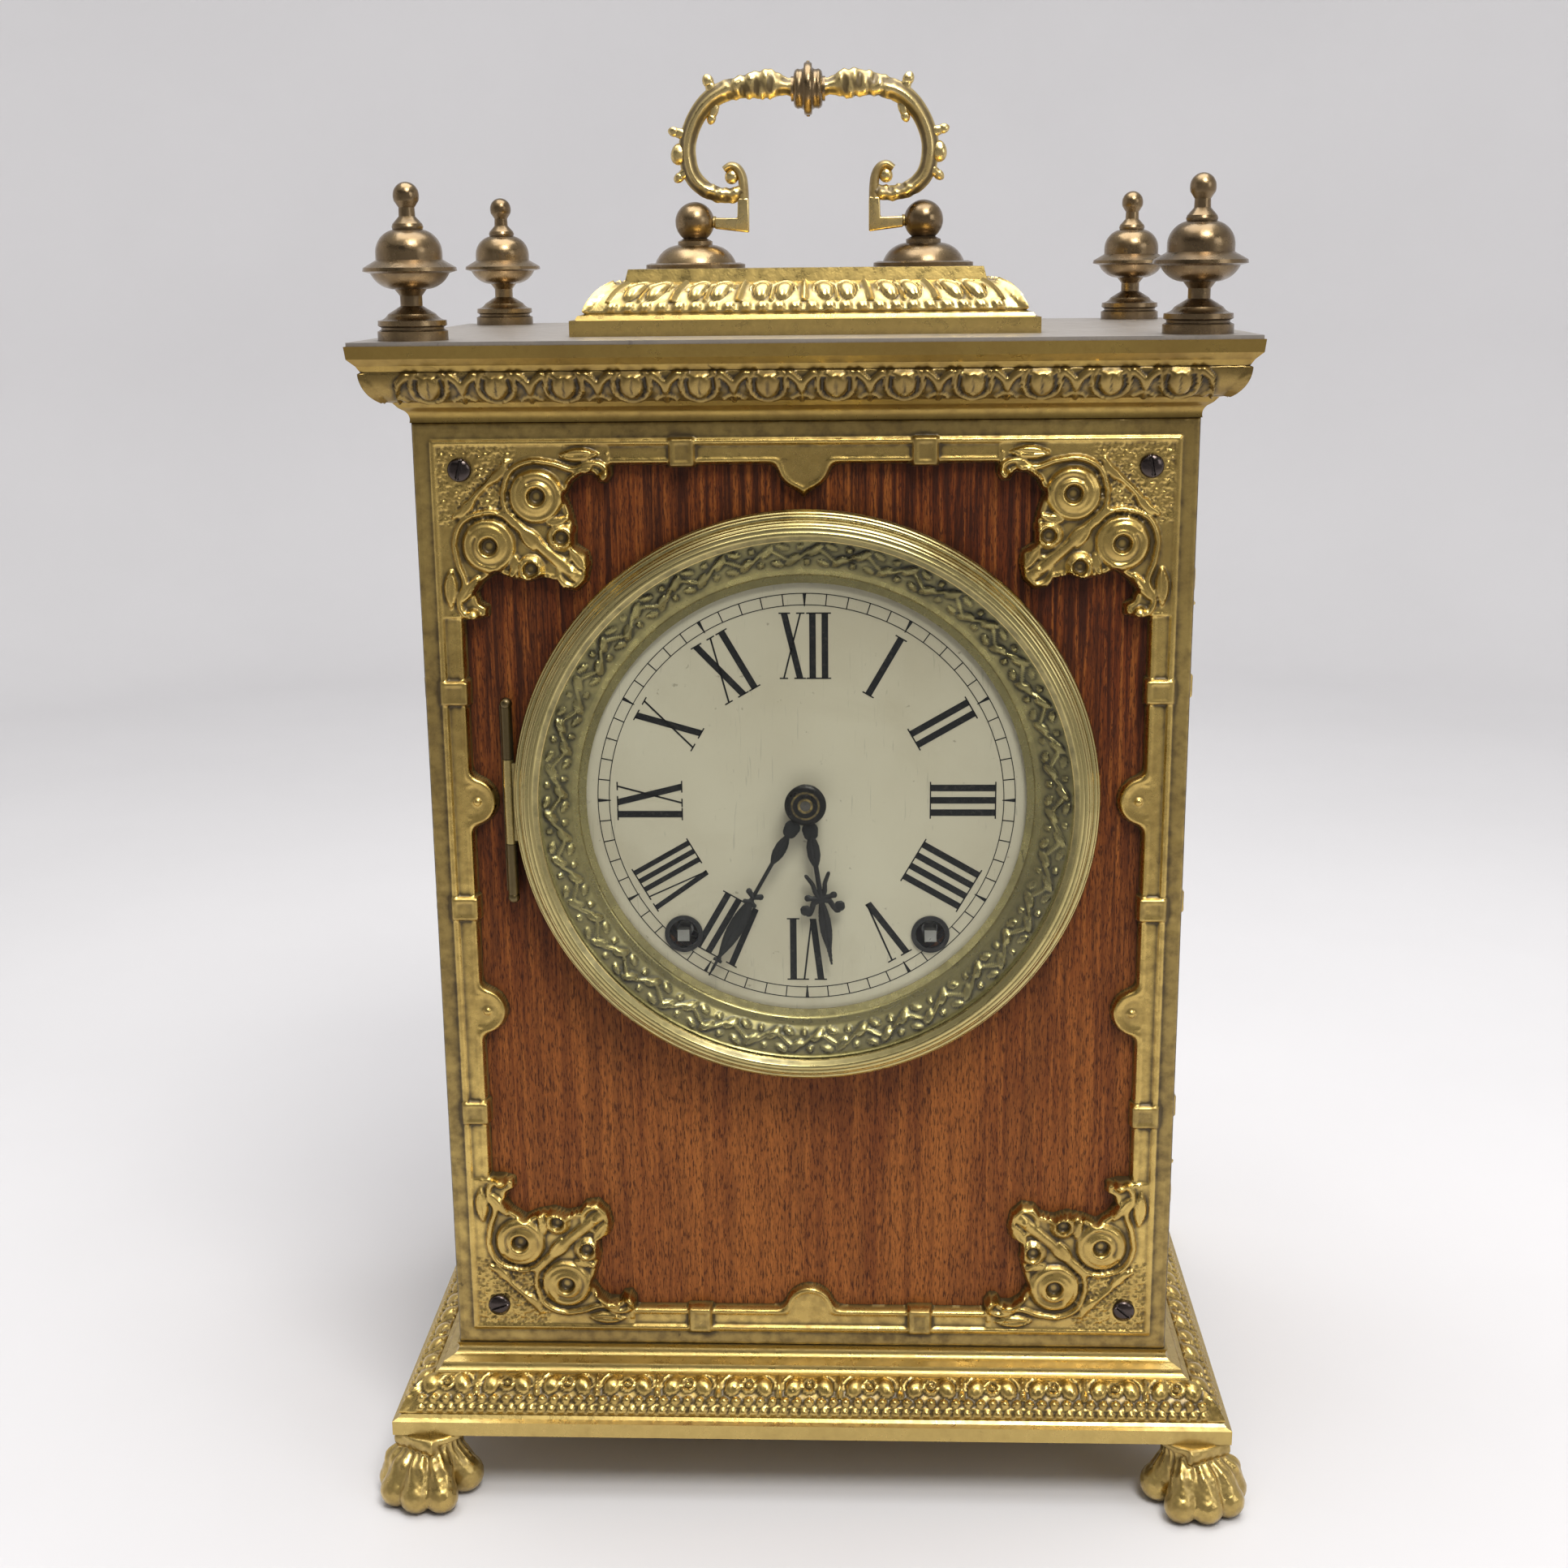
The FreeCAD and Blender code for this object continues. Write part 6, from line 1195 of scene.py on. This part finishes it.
# painted shade of a darker room in front of the clock, low down and high up
STAGE_FRONT_SHADE = (0.33, 0.325, 0.33)
STAGE_HIGH_SHADE = (0.10, 0.10, 0.105)


def stage_paint():
    """Pale painted ground with faint marks; far in front it carries painted shade, grey low down and nearly black
    high up, for a darker room there.
    """
    m = Nodes("stage_paint")
    place = m.place()
    # painted shade far in front, darkest above 0.75 m
    front_shade = m.ramp(place["Y"], -0.28, -0.85)
    above = m.ramp(place["Z"], 0.75, 0.95)
    pale = m.mix(m.ramp(m.noise(3.0, 4.0), 0.35, 0.7), STAGE_PALE, STAGE_MARK)
    pale = m.mix(front_shade, pale, STAGE_FRONT_SHADE)
    m.surface("Base Color", m.mix(m.times(front_shade, above), pale, STAGE_HIGH_SHADE))
    m.surface("Roughness", 0.8)
    return m.material


BRASS = ((0.44, 0.295, 0.072), (0.24, 0.145, 0.034), (0.026, 0.015, 0.005))
MATERIALS = {
    "gilt_brass": metal("gilt_brass_plain", *BRASS, 0.33),
    "plain_brass": metal("plain_brass_turned", (0.53, 0.41, 0.155), (0.32, 0.25, 0.09), (0.05, 0.04, 0.015),
                         0.24),
    "bronze": metal("bronze_worn", (0.31, 0.215, 0.105), (0.13, 0.085, 0.042), (0.025, 0.016, 0.010), 0.28,
                    wear=0.85),
    "oak": oak("oak_varnished", (0.37, 0.122, 0.024), (0.115, 0.022, 0.005), (0.028, 0.008, 0.004)),
    "door_brass": metal("door_brass_worn", (0.55, 0.42, 0.17), (0.30, 0.21, 0.08), (0.05, 0.035, 0.015), 0.36),
    "dial_silver": silvered("dial_silvered"),
    "black_metal": metal("blackened_metal", (0.030, 0.028, 0.028), (0.018, 0.016, 0.016),
                         (0.006, 0.006, 0.006), 0.36, metallic=0.6, spots=0.2, coat=0.0),
    "clear_glass": glass("glass_pane"),
    "steel": metal("steel_dull", (0.42, 0.40, 0.37), (0.24, 0.22, 0.20), (0.05, 0.04, 0.03), 0.34),
    "movement_brass": metal("movement_brass_clean", (0.66, 0.50, 0.21), (0.44, 0.32, 0.13),
                            (0.08, 0.05, 0.02), 0.3),
    "iron": metal("iron_painted", (0.06, 0.06, 0.06), (0.035, 0.033, 0.03), (0.01, 0.01, 0.01), 0.55,
                  metallic=0.4, grain=0.6),
}
# Castings formed here, which carry their own values of dirt and painted shade.
CAST = metal("gilt_brass_cast", (0.68, 0.48, 0.14), *BRASS[1:], 0.27, own=True, wear=0.55)
SIGHT = metal("sight_ring_brass", (0.50, 0.41, 0.165), (0.27, 0.22, 0.09), (0.04, 0.032, 0.014), 0.26,
              own=True, grain=0.08, wear=0.7)
REEDS = metal("bezel_reeds_brass", (0.56, 0.46, 0.19), (0.34, 0.29, 0.11), (0.05, 0.045, 0.02), 0.22,
              own=True, grain=0.03)
# painted light: lighter copy of the cast brass for the paws
PAW = metal("paw_cast", (0.66, 0.475, 0.15), (0.40, 0.265, 0.075), (0.03, 0.018, 0.006), 0.27, own=True,
            wear=0.45)
# painted light: lighter copy of the cast brass for the handle
LIT_CAST = metal("bright_gilt_cast", (0.80, 0.62, 0.27), (0.52, 0.36, 0.12), (0.05, 0.03, 0.01), 0.25, own=True,
               wear=0.35, spots=0.3)
# painted shade: darker copy of the cast brass for the cornice band
CORNICE = metal("cornice_cast_dark", (0.35, 0.24, 0.07), (0.18, 0.11, 0.03), (0.022, 0.014, 0.006), 0.30,
                own=True)
# painted light: paler copy of the cast brass for the plinth band
PLINTH = metal("plinth_cast_pale", (0.70, 0.53, 0.20), (0.42, 0.28, 0.085), (0.035, 0.022, 0.008), 0.30,
               own=True, wear=0.4, spots=0.3)
SCREW = metal("screw_dark", (0.075, 0.055, 0.048), (0.035, 0.025, 0.022), (0.01, 0.008, 0.007), 0.20)
ENAMEL = enamel("dial_marks_black")
# CAD nodes with a material of their own: painted light on the pale mouldings, painted shade on the hinge, a
# painted reflection on the top plate; the screws and the nut have their own dark colours.
# painted light: paler brass for the base moulding and the upper plinth
PALE = metal("moulding_brass_pale", (0.58, 0.42, 0.135), (0.44, 0.31, 0.095), (0.04, 0.026, 0.01), 0.30,
             wear=0.35, spots=0.25)
SPECIAL = {
    "base_moulding": PALE,
    "upper_plinth": PALE,
    "front_frame_screws": SCREW,
    "hand_nut": nut_metal("hand_nut_blackened"),
    # painted shade: dark brass for the hinge
    "bezel_hinge": metal("bezel_hinge_dark", (0.16, 0.115, 0.045), (0.08, 0.055, 0.022),
                         (0.02, 0.014, 0.007), 0.34),
    # painted reflection: pale grey brass for the pale wall seen in the top plate
    "top_plate": metal("top_plate_painted_reflection", (0.47, 0.43, 0.385), (0.40, 0.355, 0.31), (0.08, 0.06, 0.04), 0.42,
                       grain=0.1, spots=0.3, coat=0.1),
}


def dress_nodes():
    """Gives every CAD node the material of its slot, or its own one from SPECIAL."""
    for name, obj in NODES.items():
        for item in obj.material_slots:
            slot_name = item.material.name.split(".")[0] if item.material else ""
            item.link = "OBJECT"
            item.material = SPECIAL.get(name) or MATERIALS.get(slot_name, MATERIALS["steel"])


# ---------------------------------------------------------------------------------------------
# stage, lights and camera
# ---------------------------------------------------------------------------------------------
def stage():
    """Round pale floor that curves up into a wall, wide enough to look at the clock from any side."""
    line = [(1.0, 0), (300, 0), (700, 0), (1100, 0)]
    line += [(1300 + 300 * math.sin(a), 300 - 300 * math.cos(a)) for a in np.linspace(0, math.pi / 2, 14)]
    line += [(1600, 1500)]
    around = 96
    points = [(r * math.cos(2 * math.pi * k / around), r * math.sin(2 * math.pi * k / around), z)
              for k in range(around) for r, z in line]
    count = len(line)
    faces = []
    for k in range(around):
        here, beside = k * count, (k + 1) % around * count
        faces += [[here + i, here + i + 1, beside + i + 1, beside + i] for i in range(count - 1)]
    obj = make_mesh("stage_sweep", points, faces, None, 80.0)
    obj.data.materials.append(stage_paint())


def soft_light(name, place, target, size, power, colour=(1.0, 1.0, 1.0)):
    """Square or oblong lamp that looks at a target."""
    data = bpy.data.lights.new(name, "AREA")
    data.shape = "RECTANGLE"
    data.size, data.size_y = size
    data.energy = power
    data.color = colour
    lamp = bpy.data.objects.new(name, data)
    lamp.location = place
    lamp.rotation_euler = (Vector(target) - Vector(place)).to_track_quat("-Z", "Y").to_euler()
    bpy.context.scene.collection.objects.link(lamp)


def sky():
    """Room light: dim low down, brighter overhead."""
    world = bpy.data.worlds.new("room")
    bpy.context.scene.world = world
    world.use_nodes = True
    tree = world.node_tree
    coords = tree.nodes.new("ShaderNodeTexCoord")
    split = tree.nodes.new("ShaderNodeSeparateXYZ")
    ramp = tree.nodes.new("ShaderNodeValToRGB")
    for stop, position, grey in zip(ramp.color_ramp.elements, (0.0, 0.9), (0.20, 1.0)):
        stop.position = position
        stop.color = (grey, grey, grey, 1.0)
    tree.links.new(coords.outputs["Generated"], split.inputs["Vector"])
    tree.links.new(split.outputs["Z"], ramp.inputs["Fac"])
    tree.links.new(ramp.outputs["Color"], tree.nodes["Background"].inputs["Color"])
    tree.nodes["Background"].inputs["Strength"].default_value = 0.66


CAMERA_TURNS = (-2.316, 14.202, -0.582)
CAMERA_PLACE = (0.01759, -0.6753, 0.3815)
FOCAL_PIXELS = 2536.4
PHOTO_WIDTH = 1932
SENSOR = 36.0


def camera():
    """Camera fitted to the photograph."""
    yaw, pitch, roll = (math.radians(value) for value in CAMERA_TURNS)
    ahead = Vector((math.sin(yaw) * math.cos(pitch), math.cos(yaw) * math.cos(pitch), -math.sin(pitch)))
    right = Vector((math.cos(yaw), -math.sin(yaw), 0.0))
    up = right.cross(ahead)
    across = right * math.cos(roll) + up * math.sin(roll)
    upward = up * math.cos(roll) - right * math.sin(roll)
    data = bpy.data.cameras.new("camera")
    data.sensor_width = SENSOR
    data.lens = FOCAL_PIXELS / PHOTO_WIDTH * SENSOR
    data.clip_start = 0.02
    eye = bpy.data.objects.new("camera", data)
    turn = Matrix((across, upward, -ahead)).transposed().to_4x4()
    eye.matrix_world = Matrix.Translation(CAMERA_PLACE) @ turn
    bpy.context.scene.collection.objects.link(eye)
    bpy.context.scene.camera = eye


# ---------------------------------------------------------------------------------------------
# everything
# ---------------------------------------------------------------------------------------------
dress_nodes()
brass_frame("front_frame_cast", HALF_WIDTH, FRONT_TAB, front_place, False, CAST, "front_frame")
brass_frame("left_frame_cast", SIDE_HALF, SIDE_TAB, side_place(-1), True, CAST, "left_side_frame")
brass_frame("right_frame_cast", SIDE_HALF, SIDE_TAB, side_place(1), False, CAST, "right_side_frame")
band("cornice_band", HALF_WIDTH, HALF_DEPTH, CORNICE_TOP, arc_profile((6.0, -15.8), (11.3, -7.1), 1.53, 24),
     cornice_ornament, CORNICE)
band("base_band", HALF_WIDTH, HALF_DEPTH, BODY_BOTTOM, arc_profile((16.6, -16.6), (7.2, -7.0), 1.48, 30),
     base_ornament, CAST)
band("plinth_band", 68.8, 62.0, PLATE_TOP, arc_profile((-4.0, 6.4), (-12.4, 14.8), 1.48, 28),
     plinth_ornament, PLINTH)
sight_ring(SIGHT)
bezel_reeds(REEDS)
frame_screws(SCREW)
BLACK = MATERIALS["black_metal"]
hand("hour_hand_pierced", hour_shape, 51.0, 3.3, -82.25, 171.5, "hour", "hour_hand", BLACK)
hand("minute_hand_pierced", minute_shape, 61.0, 1.7, -84.25, 209.0, "minute", "minute_hand", BLACK)
dial_marks(ENAMEL)
handle(LIT_CAST)
for end_name, end in (("front", -1), ("rear", 1)):
    for side_name, side in (("left", -1), ("right", 1)):
        paw("paw_foot_%s_%s" % (end_name, side_name), side, end, PAW)
stage()
soft_light("key_light", (0.30, -0.80, 1.35), (0.0, 0.0, 0.22), (0.5, 0.5), 13.0, (1.0, 0.985, 0.96))
soft_light("fill_light", (1.15, -0.9, 0.75), (0.0, 0.0, 0.2), (0.6, 0.6), 2.5, (0.97, 0.98, 1.0))
soft_light("top_light", (0.0, 0.0, 1.5), (0.0, 0.0, 0.2), (1.2, 1.0), 14.0)
sky()
camera()
bpy.context.scene.view_settings.view_transform = "Standard"
